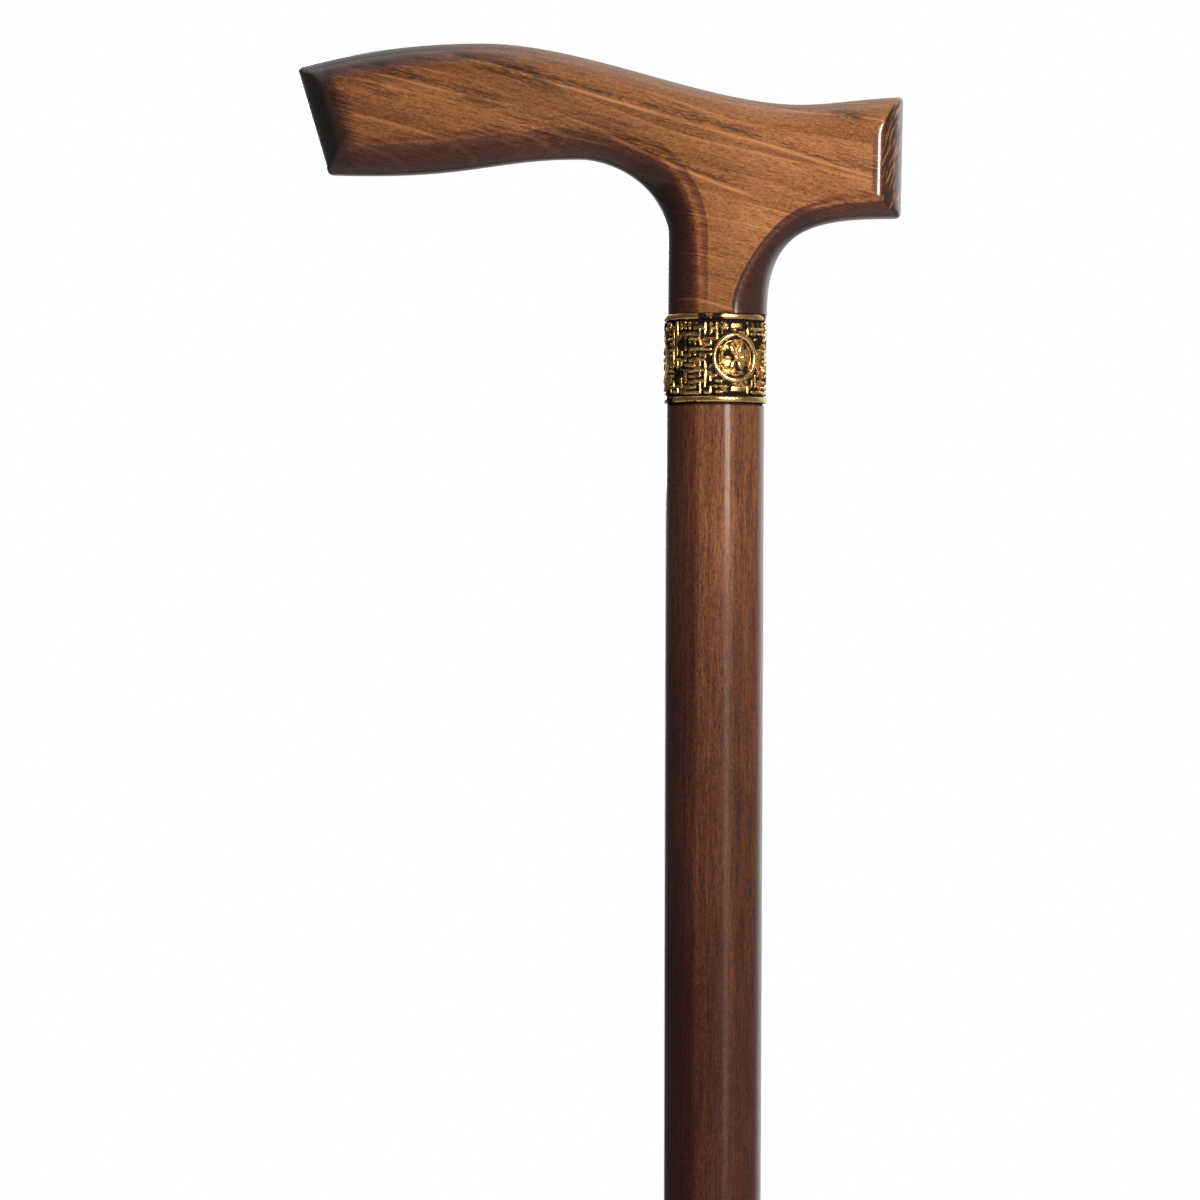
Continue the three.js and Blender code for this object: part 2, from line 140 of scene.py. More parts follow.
def srgb(red, green, blue):  # 0 to 255 as shown on a screen, to the shader's linear colour
    def linear(value):
        value /= 255
        return value / 12.92 if value <= 0.04045 else ((value + 0.055) / 1.055) ** 2.4
    return (linear(red), linear(green), linear(blue), 1.0)


def emptied(owner):  # the cleared node tree of a material or of the world
    owner.use_nodes = True
    owner.node_tree.nodes.clear()
    return Net(owner.node_tree)


def newMaterial(name, build, *looks):  # build gives the inputs of the surface's shader
    material = bpy.data.materials.new(name)
    net = emptied(material)
    surface = net.node("ShaderNodeBsdfPrincipled", inputs=build(net, *looks))
    net.node("ShaderNodeOutputMaterial", inputs={"Surface": surface})
    return material


# Wood: growth lines, fibres and flecks along the grain, and stain that lies thicker on edges, under varnish

def wood(net, look):
    eased, place = net.eased, net.place()
    size = net.millimetres(net.turned(place, *look["turn"]))  # x along the grain

    def streaks(along, depth, across, offset, detail=2.0, roughness=0.5):
        scaled = net.vector("DIVIDE", size, (along, depth, across))  # and each pattern has its own offset
        return net.noise(net.vector("ADD", scaled, (offset, offset * 0.7, offset * 1.3)), detail, roughness)

    def fromPoint(x, z):  # the place, seen from a point of the side view in millimetres
        return net.vector("SUBTRACT", place, (x * mm, 0.0, neckZ + z * mm))

    cloud = streaks(46, 14, 11, 3.1)
    _, depth, across = net.split(size)
    warp = (streaks(64, 30, 26, 8.4, 1, 0.4) - 0.5) * look["lineWarp"]
    within = net.math("FRACT", (across + depth * look["lineLean"] + warp) / look["linePitch"])
    alive = eased(streaks(30, 18, 5, 6.6, 1, 0.4), 0.4, 0.6)
    lightLine = eased(within, 0.84, 0.93) * eased(within, 1.0, 0.95) * alive
    darkSide = (1 - within) ** 2.0 * eased(streaks(34, 20, 7, 4.3, 1, 0.4), 0.34, 0.66)
    fibre = streaks(*look["fibre"], 1.7, 3, 0.65)
    fine = streaks(*look["fine"], 5.2, 2, 0.65)
    fleck = eased(streaks(*look["fleck"], 2.9, 2, 0.55), look["fleckFrom"], look["fleckFrom"] + 0.12)
    mottle = streaks(0.75, 0.4, 0.42, 7.9, 1)

    color = net.mix(eased(cloud, 0.34, 0.66), look["mid"], look["light"])
    for where, amount, tone in (
        (darkSide, "darkSide", "dark"), (eased(fibre, 0.42, 0.68), "fibreDepth", "dark"),
        (eased(fine, 0.42, 0.7), "fineDepth", "dark"), (fleck, "fleckDepth", "streak"),
        (lightLine, "lightLine", "bright"), (eased(mottle, 0.53, 0.7), "mottle", "dark"),
        (eased(mottle, 0.47, 0.3) * 0.6, "mottle", "bright"),
    ):
        color = net.mix(where * look[amount], color, look[tone])

    if look["palmShade"]:  # painted shade: the palm arm darker than the heel, as the key light on the right falls off
        color = net.tint(eased(net.split(place)[0], 20 * mm, -20 * mm), color, look["palmShade"])

    for centre, half, edge, amount, tone in look["bands"]:  # painted shade: darker bands down a turned piece at fixed places across it, for its shaded sides
        wobble = (streaks(90, 12, 12, 7.7 + centre, 1, 0.4) - 0.5) * 2.5
        off = net.math("ABSOLUTE", net.split(place)[0] * 1000.0 + wobble - centre)
        color = net.tint(eased(off, half + edge, half) * amount, color, tone)

    for x, z, angle, length, amount in look["growthLines"]:  # single lines, light below and dashed dark above
        along, _, above = net.split(net.millimetres(net.turned(fromPoint(x, z), 0, angle, 0)))
        above = above + (streaks(40, 40, 40, 9.3 + x, 1, 0.4) - 0.5) * 4.0
        ends = eased(along, 0.0, 6.0) * eased(along, length, length - 8.0) * amount
        dashes = eased(above, 0.1, 0.7) * eased(above, 2.6, 0.9) * eased(fine * 0.5 + fibre * 0.5, 0.42, 0.6)
        line = eased(net.math("ABSOLUTE", above + 0.25), 0.55, 0.1)
        color = net.mix(dashes * ends * 0.85, color, look["streak"])
        color = net.mix(line * ends * 0.7, color, look["bright"])

    for x, z, wide, high, amount in look["smudges"]:  # dark clouds of stain that break up into short streaks
        off = net.turned(fromPoint(x, z), *look["turn"])
        off = net.vector("MULTIPLY", off, (1000 / wide, 0.0, 1000 / high))
        near = eased(net.vector("LENGTH", off, out="Value"), 1.0, 0.0)
        broken = eased(fine * 0.55 + fibre * 0.45 + near * 0.22, 0.56, 0.72)
        color = net.mix(near * broken * amount, color, look["streak"])

    if look["topShade"]:  # painted shade: redder and darker down the shaft as the light falls off below the collar, and a painted shadow line just under the collar
        height, top = net.split(place)[2], look["topShade"]
        color = net.tint(eased(height, top - 15 * mm, top - 135 * mm), color, look["lowerTint"])
        # painted shadow: a dark line just under the collar
        color = net.mix(eased(height, top - 1.0 * mm, top - 0.4 * mm) * 0.85, color, look["streak"])

    if look["stained"]:  # the mesh says where stain lies thicker, where painted shade and a painted highlight run along the creases, where painted light falls under the palm arm, and where the ends of the grain show
        stain = net.attribute("stain")
        ragged = (fibre - 0.5) * 0.7 + (cloud - 0.5) * 0.5
        color = net.tint(eased(stain + ragged, 0.2, 0.72), color, look["stainTint"])
        color = net.tint(eased(stain + ragged * 0.5, 0.7, 1.0), color, look["edgeTint"])
        color = net.mix(eased(stain, 0.98, 1.22) * 0.8, color, look["streak"])
        besideEnd = eased(net.attribute("besideEnd") + ragged * 1.2, 0.2, 0.6)
        color = net.tint(besideEnd, color, look["besideEndTint"])
        palmEnd = eased(net.attribute("palmEnd") + ragged * 0.8, 0.3, 0.6)
        color = net.mix(palmEnd * 0.96, color, look["palmEndColor"])
        endLines = net.vector("DIVIDE", net.turned(place, 0, 68, 0), (9 * mm, 3 * mm, 0.55 * mm))
        ends = net.mix(eased(net.noise(endLines), 0.5, 0.66), look["heelEndColor"], look["heelEndLine"])
        color = net.mix(eased(net.attribute("heelEnd"), 0.3, 0.7) * 0.92, color, ends)

    thick, thin = look["coat"]
    facingDown = net.split(net.node("ShaderNodeTexCoord", out="Normal"))[2]
    coat = net.remap(fine * 0.6 + fibre * 0.4, 0.36, 0.6, thin, thick)  # thinner over open grain
    coat = coat * net.remap(facingDown, -0.7, -0.15, 0.3, 1.0)  # and thinner underneath
    relief = fine * 0.6 + fibre * 0.3 - fleck * 0.5
    return {
        "Base Color": color, "Normal": net.bump(look["bump"], 0.1 * mm, relief),
        "Roughness": net.remap(fine, 0.3, 0.7, look["roughness"] - 0.05, look["roughness"] + 0.06),
        "IOR": 1.45, "Specular IOR Level": look["specular"],
        "Coat Weight": coat, "Coat Roughness": look["coatRoughness"], "Coat IOR": 1.5,
    }


handleWood = {
    "turn": (0, -15, 0),  # degrees; the grain falls towards the heel
    "linePitch": 5.4, "lineLean": 0.35, "lineWarp": 13.0, "darkSide": 0.6, "lightLine": 0.6,
    "fibre": (9, 1.2, 0.55), "fibreDepth": 0.5,  # along, depth, across
    "fine": (1.9, 0.3, 0.24), "fineDepth": 0.6,
    "fleck": (1.3, 0.5, 0.3), "fleckFrom": 0.57, "fleckDepth": 0.55,
    "bright": srgb(204, 140, 89), "light": srgb(181, 121, 74), "mid": srgb(160, 104, 63),
    "dark": srgb(108, 63, 37), "streak": srgb(44, 28, 22),
    # painted shade: the palm arm's tint
    "palmShade": (0.68, 0.67, 0.64, 1.0), "bands": [], "topShade": None,
    "smudges": [(-75.5, 55.5, 4, 2.4, 1.0), (-70, 58, 14, 1.6, 0.7), (-56, 57.6, 9, 2.4, 0.9),
                (-47, 54, 14, 5, 0.75), (-54, 48, 14, 3.5, 0.6), (-74.5, 48.8, 11, 2.6, 0.5),
                (-39.5, 40.6, 8, 1.6, 0.8), (-40, 52, 14, 5, 0.5), (2, 54, 15, 4, 0.5), (-8, 44, 18, 6, 0.4),
                (30, 44.6, 10, 2.6, 0.8), (-12, 20, 8, 10, 0.4)],
    "growthLines": [(-57.5, 57.5, -16, 100, 0.8), (-86, 55.5, -13, 44, 0.6), (-27, 41.5, -23, 42, 0.9),
                    (-50, 44, -12, 30, 0.5)],
    "mottle": 0.42, "stained": True,
    "stainTint": (0.4, 0.31, 0.5, 1.0), "edgeTint": (0.58, 0.58, 0.7, 1.0),
    "besideEndTint": (0.36, 0.37, 0.56, 1.0),
    "palmEndColor": srgb(50, 40, 36), "heelEndColor": srgb(52, 30, 24), "heelEndLine": srgb(150, 102, 52),
    "roughness": 0.45, "specular": 0.12, "coat": (0.95, 0.5), "coatRoughness": 0.1, "bump": 0.06,
}

shaftWood = {
    "turn": (0, 90, 0),
    "linePitch": 6.5, "lineLean": 0.8, "lineWarp": 5.0, "darkSide": 0.3, "lightLine": 0.15,
    "fibre": (15, 0.9, 0.7), "fibreDepth": 0.65,
    "fine": (3.0, 0.34, 0.3), "fineDepth": 0.7,
    "fleck": (2.0, 0.4, 0.28), "fleckFrom": 0.57, "fleckDepth": 0.55,
    "bright": srgb(172, 118, 76), "light": srgb(160, 107, 68), "mid": srgb(130, 82, 54),
    "dark": srgb(80, 43, 35), "streak": srgb(36, 22, 20), "palmShade": None,
    # painted shade down the shaft's two sides and its middle: the bands' middle, half width, edge, amount and
    # tint
    "bands": [(-9.5, 4.4, 1.4, 0.85, (0.42, 0.33, 0.46, 1.0)), (0.2, 1.4, 1.2, 0.6, (0.72, 0.58, 0.66, 1.0)),
              (9.5, 4.4, 2.2, 1.0, (0.66, 0.6, 0.6, 1.0))],
    "smudges": [], "growthLines": [], "mottle": 0.4, "stained": False,
    # painted shade: the tint that the shaft takes on further down
    "topShade": neckZ - 20.1 * mm, "lowerTint": (0.46, 0.39, 0.5, 1.0),
    "roughness": 0.42, "specular": 0.12, "coat": (1.0, 0.35), "coatRoughness": 0.1, "bump": 0.08,
}

brassLook = {
    "bright": srgb(240, 182, 104), "worn": srgb(250, 216, 160), "dull": srgb(186, 138, 70),
    "patina": srgb(28, 19, 13), "recess": 0.0, "proud": 0.22,  # millimetres: the black ends, the polish begins
    "brightRoughness": 0.2, "patinaRoughness": 0.75,
}


def brass(net, look):
    size = net.millimetres(net.place())
    cloud = net.noise(size, 3, 0.6, scale=0.55)
    grit = net.noise(size, 2, 0.6, scale=5.0)
    dirt = net.eased(net.noise(size, scale=0.3), 0.52, 0.66, 0.0, 0.5)
    level = net.attribute("relief") + (cloud - 0.5) * 0.75 + (grit - 0.5) * 0.25 - dirt
    polished = net.eased(level, look["recess"], look["proud"])
    top = net.eased(level, look["proud"] - 0.05, look["proud"] + 0.2)
    color = net.mix(polished, look["patina"], look["dull"])
    color = net.mix(polished * net.remap(cloud, 0.35, 0.6), color, look["bright"])
    color = net.mix(top * 0.6, color, look["worn"])
    rough = net.remap(polished + (grit - 0.5) * 0.3, 0.0, 1.0, look["patinaRoughness"], look["brightRoughness"])
    return {
        "Base Color": color, "Metallic": net.remap(polished, 0.0, 0.5, 0.1, 1.0), "Roughness": rough,
        "Normal": net.bump(0.5, 0.08 * mm, grit + cloud * 0.6), "Specular IOR Level": 0.15,
    }


def rubber(net):
    size = net.millimetres(net.place())
    _, along, up = net.split(size)
    pebble = net.noise(size, 2, 0.6, scale=3.2)
    cloud = net.noise(size, 3, 0.55, scale=0.12)
    parting = net.eased(net.math("ABSOLUTE", along), 0.0, 0.16, 1.0, 0.0)  # the mould's parting line
    dust = net.eased(up, 4.0, 0.0, 0.0, 0.5) * net.remap(cloud, 0.4, 0.65)
    color = net.mix(net.remap(cloud, 0.35, 0.7), srgb(30, 30, 31), srgb(42, 42, 43))
    return {
        "Base Color": net.mix(dust, color, srgb(84, 80, 74)),
        "Roughness": net.remap(pebble, 0.3, 0.7, 0.62, 0.8), "Specular IOR Level": 0.4,
        "Normal": net.bump(0.35, 0.1 * mm, pebble * 0.5 + parting * 1.5),
    }


def steel(net):
    place = net.place()
    scratches = net.noise(net.vector("MULTIPLY", place, (900.0, 900.0, 9000.0)), 2, 0.6)
    spangle = net.noise(place, 1, scale=300.0)
    return {
        "Base Color": net.mix(net.remap(spangle, 0.35, 0.65), srgb(176, 178, 180), srgb(198, 200, 201)),
        "Metallic": 1.0, "Roughness": net.remap(scratches, 0.3, 0.7, 0.28, 0.42),
        "Normal": net.bump(0.2, 0.05 * mm, scratches),
    }


handleFinish = newMaterial("stainedHandleWood", wood, handleWood)
shaftFinish = newMaterial("stainedShaftWood", wood, shaftWood)
brassFinish = newMaterial("antiqueBrass", brass, brassLook)
rubberFinish = newMaterial("blackRubber", rubber)
steelFinish = newMaterial("zincSteel", steel)
print("stage: materials")


# Making and finishing pieces

def newObject(name, data):
    piece = bpy.data.objects.new(name, data)
    bpy.context.scene.collection.objects.link(piece)
    return piece


def evaluated(piece):  # the piece's mesh with its modifiers applied, as a plain mesh
    bpy.context.view_layer.update()
    graph = bpy.context.evaluated_depsgraph_get()
    mesh = bpy.data.meshes.new_from_object(piece.evaluated_get(graph))
    piece.modifiers.clear()
    old = piece.data
    piece.data = mesh
    bpy.data.meshes.remove(old)
    return piece


def ringFaces(rings):  # the faces between closed rings of vertices; a ring may be one vertex, repeated
    faces = []
    for low, high in zip(rings, rings[1:]):
        for i in range(len(low)):
            j = (i + 1) % len(low)
            faces.append(tuple(dict.fromkeys((low[i], low[j], high[j], high[i]))))
    return faces


def smoothed(piece, sharpAngle):
    piece.data.polygons.foreach_set("use_smooth", [True] * len(piece.data.polygons))
    piece.data.set_sharp_from_angle(angle=math.radians(sharpAngle))
    return piece


def painted(piece, material):
    piece.data.materials.clear()
    piece.data.materials.append(material)


def dress(piece, body, nodes, material):
    painted(piece, material)
    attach(piece, body)
    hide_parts(*nodes)


class GeometryTree:  # a geometry node group with named inputs
    def __init__(self, name, sizes):
        self.group = bpy.data.node_groups.new(name, "GeometryNodeTree")
        self.net = Net(self.group)
        self.sizes = sizes
        for way in ("INPUT", "OUTPUT"):
            self.group.interface.new_socket("Geometry", in_out=way, socket_type="NodeSocketGeometry")
        self.keys = {}
        for label, value in sizes.items():
            kind = "NodeSocketInt" if isinstance(value, int) else "NodeSocketFloat"
            socket = self.group.interface.new_socket(label, in_out="INPUT", socket_type=kind)
            self.keys[label] = socket.identifier
        self.source = self.group.nodes.new("NodeGroupInput")

    def size(self, label):
        return Wire(self.net, self.source.outputs[label])

    def line(self, start, end, count):  # a straight curve with evenly spaced points
        line = self.net.node("GeometryNodeCurvePrimitiveLine", inputs={"Start": start, "End": end})
        return self.net.node("GeometryNodeResampleCurve", inputs={"Curve": line, "Count": count})

    def circle(self, resolution, radius):
        inputs = {"Resolution": resolution, "Radius": radius}
        return self.net.node("GeometryNodeCurvePrimitiveCircle", inputs=inputs)

    def swept(self, path, profile, scale=1.0, caps=False):
        inputs = {"Curve": path, "Profile Curve": profile, "Scale": scale, "Fill Caps": caps}
        return self.net.node("GeometryNodeCurveToMesh", inputs=inputs)

    def ball(self, segments, rings, radius):
        inputs = {"Segments": segments, "Rings": rings, "Radius": radius}
        return self.net.node("GeometryNodeMeshUVSphere", inputs=inputs)

    def moved(self, geometry, place, grow=(1.0, 1.0, 1.0)):
        inputs = {"Geometry": geometry, "Translation": place, "Scale": grow}
        return self.net.node("GeometryNodeTransform", inputs=inputs)

    def joined(self, *parts):
        return self.net.node("GeometryNodeJoinGeometry", inputs={"Geometry": parts})

    def realized(self, geometry):
        return self.net.node("GeometryNodeRealizeInstances", inputs={0: geometry})

    def shifted(self, geometry, **values):  # each point gets a new place or an offset
        return self.net.node("GeometryNodeSetPosition", inputs={"Geometry": geometry, **values})

    def make(self, name, geometry, material, start=None):  # start is the mesh that the tree takes in
        inputs = {"Geometry": self.realized(geometry), "Material": material}
        self.net.node("NodeGroupOutput", inputs={0: self.net.node("GeometryNodeSetMaterial", inputs=inputs)})
        piece = newObject(name, start or bpy.data.meshes.new(name))
        modifier = piece.modifiers.new("shape", "NODES")
        modifier.node_group = self.group
        for label, value in self.sizes.items():
            modifier[self.keys[label]] = value
        return evaluated(piece)


# The handle. Its outline is the side view's, and each level of its rounded edges is that outline moved in.

handleShape = {  # millimetres: reach from the shaft's axis, height above the collar
    "palmTop": (-95.35, 55.7), "crown": (-52.75, 61.45), "saddle": (18.95, 47.85), "heelTop": (42.5, 49.6),
    "heelToe": (42.0, 22.1), "heelBend": (17.2, 17.05), "neckRight": (11.75, 0), "neckLeft": (-11, 0),
    "crookEnd": (-11, 17.4), "crook": (-31.05, 35.25), "palmToe": (-88.05, 31.5),
    # the curves between them: from, lead out, to, lead in
    "crownCurves": [("palmTop", (14.85, 4.2), "crown", (13.25, 0)), ("crown", (23, 0), "saddle", (21, 0)),
                    ("saddle", (7.5, 0), "heelTop", (9.6, 0.3))],
    "palmUnder": ("palmToe", (32.4, -1.1), "crook", (20, 0)),
    "crookSide": ("crook", (8.4, 0), "crookEnd", (0, -11.3)),
    "bendSide": ("neckRight", (0, 8.5), "heelBend", (3.7, 3.4)),
    "heelUnder": ("heelBend", (5.4, 5), "heelToe", (8.6, 0.1)),
    # the section, and how far each rounded edge reaches in over the side face
    "waistHalf": 11.5, "palmSwell": 1.2, "heelSwell": 0.5, "neckHalfThickness": 10.6, "faceCrown": 0.4,
    "neckReachIn": 7.2, "crownRound": 7.5, "palmUnderRound": 6.2, "heelUnderRound": 3.3, "endRound": 5.2,
    "neckBlend": 24, "heelBlend": 17, "crownCrease": 80, "underCrease": 66, "endCrease": 58, "cornerRound": 1.3,
    "arcLevels": 16, "creaseLevels": 8, "creaseShare": 0.93,
    "creaseReach": 1.1, "crookReach": 2.8, "endCreaseReach": 1.9, "crookFrom": (-44, -28), "crookAtNeck": 0.45,
    "swellIn": (0, 14),  # the face swells between these distances in from its edge
    "steps": (90, 64, 16, 20, 40, 44), "crownBreaks": (-36, -1.6, -0.8, 3, 21), "across": 36, "cornerSteps": 6,
    "tenonRadius": 10.2, "tenonLength": 10.05, "boreRadius": 4.15, "boreDepth": 20.4,
}

handleStain = {  # shares of the full stain, with painted shade along the crown's crease, a painted highlight along the under creases and painted light under the palm arm, and the millimetres between which each of them comes in
    "crown": (0.95, 0.12), "crownFrom": (-88, -26),  # the crown takes less, and least towards the heel
    # painted shade: crownCrease and crownCreaseFrom make a dark line along the crown's crease towards the palm
    "palmCrown": 0.3, "palmCrownFrom": (-66, -78), "crownCrease": 0.3, "crownCreaseFrom": (-18, -43),
    "crookFrom": (-22, -14), "crookLow": 0.3, "crookHeights": (0, 16),
    # painted light: arm, armFrom and armTo take stain away under the palm arm, where bounce light from below
    # falls
    "arm": -0.22, "armFrom": (-62, -42), "armTo": (-16, -22),
    "heelFrom": (32, 20), "heelTip": -0.22, "heelTipFrom": (20, 30),
    "worn": 0.15, "highlightAtCrook": 0.3, "highlightAtHeelTip": 0.35,  # painted highlight: less stain on the crease itself, a lighter line along it
    "face": 0.52, "faceFade": (2.0, 0.9), "faceFadeTip": 2.5, "faceFadeFrom": (20, 28), "crownFade": 2.0,
    "endFade": 5.5, "endFacing": (0.27, 0.47), "endDepth": 9, "blackEdge": 1.2,
    "blackFrom": (4, 10),  # above the palm end's lower corner
    "besideEnd": (7.0, 4.5), "besideEndFrom": (-10, -5),  # below its upper corner
}


def between(low, high, share):
    return low + (high - low) * share


def arch(start, pull, end, share):  # a point on the curve from start to end that bulges towards pull
    return between(between(start, pull, share), between(pull, end, share), share)


def bend(start, leadOut, end, leadIn, steps=160):  # a cubic curve's points and directions
    a, b, c, d = np.array([start, np.add(start, leadOut), np.subtract(end, leadIn), end], float)
    t = np.linspace(0, 1, steps + 1)[:, None]
    first, second = arch(a, b, c, t), arch(b, c, d, t)
    slopes = second - first
    return between(first, second, t), slopes / np.linalg.norm(slopes, axis=1, keepdims=True)


def chained(*curves):  # curves joined end to end, with each shared point once
    return [np.vstack([part[min(i, 1):] for i, part in enumerate(parts)]) for parts in zip(*curves)]


def ramp(value, low, high):  # eases from 0 at low to 1 at high, which may lie below it
    share = np.clip((value - low) / (high - low), 0, 1)
    return share * share * (3 - 2 * share)


def trimmed(points, measure, limit):  # the stretch on which a measure is above a limit
    value = measure(points) - limit
    kept = []
    for i in range(len(points)):
        if i and value[i] * value[i - 1] < 0:
            share = value[i - 1] / (value[i - 1] - value[i])
            kept.append(points[i - 1] + (points[i] - points[i - 1]) * share)
        if value[i] >= 0:
            kept.append(points[i])
    return np.array(kept)


def spread(points, steps, cutStart=0.0, cutEnd=0.0):  # points at equal distances
    reach = np.concatenate([[0], np.cumsum(np.linalg.norm(np.diff(points, axis=0), axis=1))])
    wanted = np.linspace(cutStart, reach[-1] - cutEnd, steps + 1)
    return np.column_stack([np.interp(wanted, reach, points[:, k]) for k in range(2)])


def handleLoops(s):  # s holds the handle's sizes
    cut = s["cornerRound"]

    def curve(start, leadOut, end, leadIn):
        return bend(s[start], leadOut, s[end], leadIn)

    crownLine = chained(*[curve(*line) for line in s["crownCurves"]])
    neckLine = (np.linspace(s["crookEnd"], s["neckLeft"], 41), np.tile([0.0, -1.0], (41, 1)))
    underLines = [
        curve(*s["palmUnder"]), curve(*s["crookSide"]), neckLine, curve(*s["bendSide"]), curve(*s["heelUnder"]),
    ]

    def inside(start, end):  # measures how far a point lies inside a sloping end
        along = np.subtract(end, start)
        along = along / np.linalg.norm(along)
        return lambda p: (p[:, 0] - start[0]) * along[1] - (p[:, 1] - start[1]) * along[0]

    insidePalm = inside(s["palmToe"], s["palmTop"])
    insideHeel = inside(s["heelTop"], s["heelToe"])

    def roundShare(share, crease):
        sine = share * math.sin(math.radians(crease))
        return (1 - math.sqrt(1 - sine * sine)) / (1 - math.cos(math.radians(crease)))

    def underRound(p):
        palmSide = p[:, 0] < 0
        arm = np.where(palmSide, s["palmUnderRound"], s["heelUnderRound"])
        blend = np.where(palmSide, s["neckBlend"], s["heelBlend"])
        return between(s["neckReachIn"], arm, ramp(p[:, 1], 0, blend))

    def creaseReach(p):  # the crease is softer round the crook than elsewhere
        upTheNeck = between(s["crookAtNeck"], 1, ramp(p[:, 1], 0, s["neckBlend"]))
        atCrook = ramp(p[:, 0], *s["crookFrom"]) * upTheNeck * (p[:, 0] < 0)
        return between(s["creaseReach"], s["crookReach"], atCrook)

    def moved(line, side, reach):
        points, slopes = line
        reach = np.asarray(reach(points)).reshape(-1, 1)
        return points + side * reach * np.column_stack([-slopes[:, 1], slopes[:, 0]])

    def level(reachOf, soft):  # reachOf gives the share that an edge with this crease has reached in
        endReach = s["endRound"] * reachOf(s["endCrease"]) + soft * s["endCreaseReach"]
        crownIn = s["crownRound"] * reachOf(s["crownCrease"]) + soft * s["creaseReach"]
        underShare = reachOf(s["underCrease"])

        def underReach(p):
            return underRound(p) * underShare + soft * creaseReach(p)

        top = moved(crownLine, -1, lambda p: crownIn)
        top = trimmed(trimmed(top, insidePalm, endReach), insideHeel, endReach)
        palmUnder, crookSide, neck, bendSide, heelUnder = [moved(line, 1, underReach) for line in underLines]
        groups = [
            trimmed(palmUnder, insidePalm, endReach), crookSide, neck, np.array([neck[-1], bendSide[0]]),
            bendSide, trimmed(heelUnder, insideHeel, endReach),
        ]
        breaks = [-1e9, *s["crownBreaks"], 1e9]
        topGroups = []
        for low, high in zip(breaks, breaks[1:]):
            part = trimmed(top, lambda p: p[:, 0], low)
            topGroups.append(trimmed(part, lambda p: -p[:, 0], -high))

        def row(parts):
            found, last = [], len(parts) - 1
            for i, points in enumerate(parts):
                points = spread(points, s["steps"][i], cut * (i == 0), cut * (i == last))
                found.append(points if i == last else points[:-1])
            return np.vstack(found)

        def column(*ends):
            return spread(np.array(ends), s["across"] - 2 * s["cornerSteps"], cut, cut)

        def corner(rowPoint, tip, endPoint):  # half of a round corner, from its middle out to the row
            shares = [0.5 * (1 - i / s["cornerSteps"]) for i in range(s["cornerSteps"])]
            return np.array([arch(rowPoint, tip, endPoint, share) for share in shares])

        def cornered(line, tips, neighbours, skip):  # the columns skip the point that they share with a row
            first, last = [corner(line[k], tips[k], neighbours[k])[skip:] for k in (0, -1)]
            return np.vstack([first, line, last[::-1]])

        palmTop, palmToe, heelTop, heelToe = top[0], groups[0][0], top[-1], groups[-1][-1]
        crown, under = row(topGroups), row(groups)
        palm, heel = column(palmTop, palmToe), column(heelTop, heelToe)
        return (
            cornered(crown, (palmTop, heelTop), (palm[0], heel[0]), 0),
            cornered(heel, (heelTop, heelToe), (crown[-1], under[-1]), 1),
            cornered(under, (palmToe, heelToe), (palm[-1], heel[-1]), 0),
            cornered(palm, (palmTop, palmToe), (crown[0], under[0]), 1),
        )

    found = []
    for i in range(s["arcLevels"] + 1):  # the round, from the outline up to the crease
        share = s["creaseShare"] * math.sin(0.5 * math.pi * i / s["arcLevels"])
        found.append((share, level(lambda crease: roundShare(share, crease), 0.0)))
    for i in range(1, s["creaseLevels"] + 1):  # a small curve from there to the face, which softens the crease
        t = i / s["creaseLevels"]

        def toFace(share):
            return (1 - t) ** 2 * share + 1 - (1 - t) ** 2

        loops = level(lambda crease: toFace(roundShare(s["creaseShare"], crease)), t * t)
        found.append((toFace(s["creaseShare"]), loops))
    return found


def halfThickness(p, s):
    neck = s["neckRight"][0]
    palm = s["palmSwell"] * ramp(-p[:, 0], neck, -s["crown"][0])
    heel = s["heelSwell"] * ramp(p[:, 0], neck, s["heelTop"][0])
    return between(s["neckHalfThickness"], s["waistHalf"] + palm + heel, ramp(p[:, 1], 0, s["neckBlend"]))


def nearestPoint(points):  # a function that finds the nearest of these points
    tree = kdtree.KDTree(len(points))
    for i, point in enumerate(points):
        tree.insert(point, i)
    tree.balance()
    return tree.find


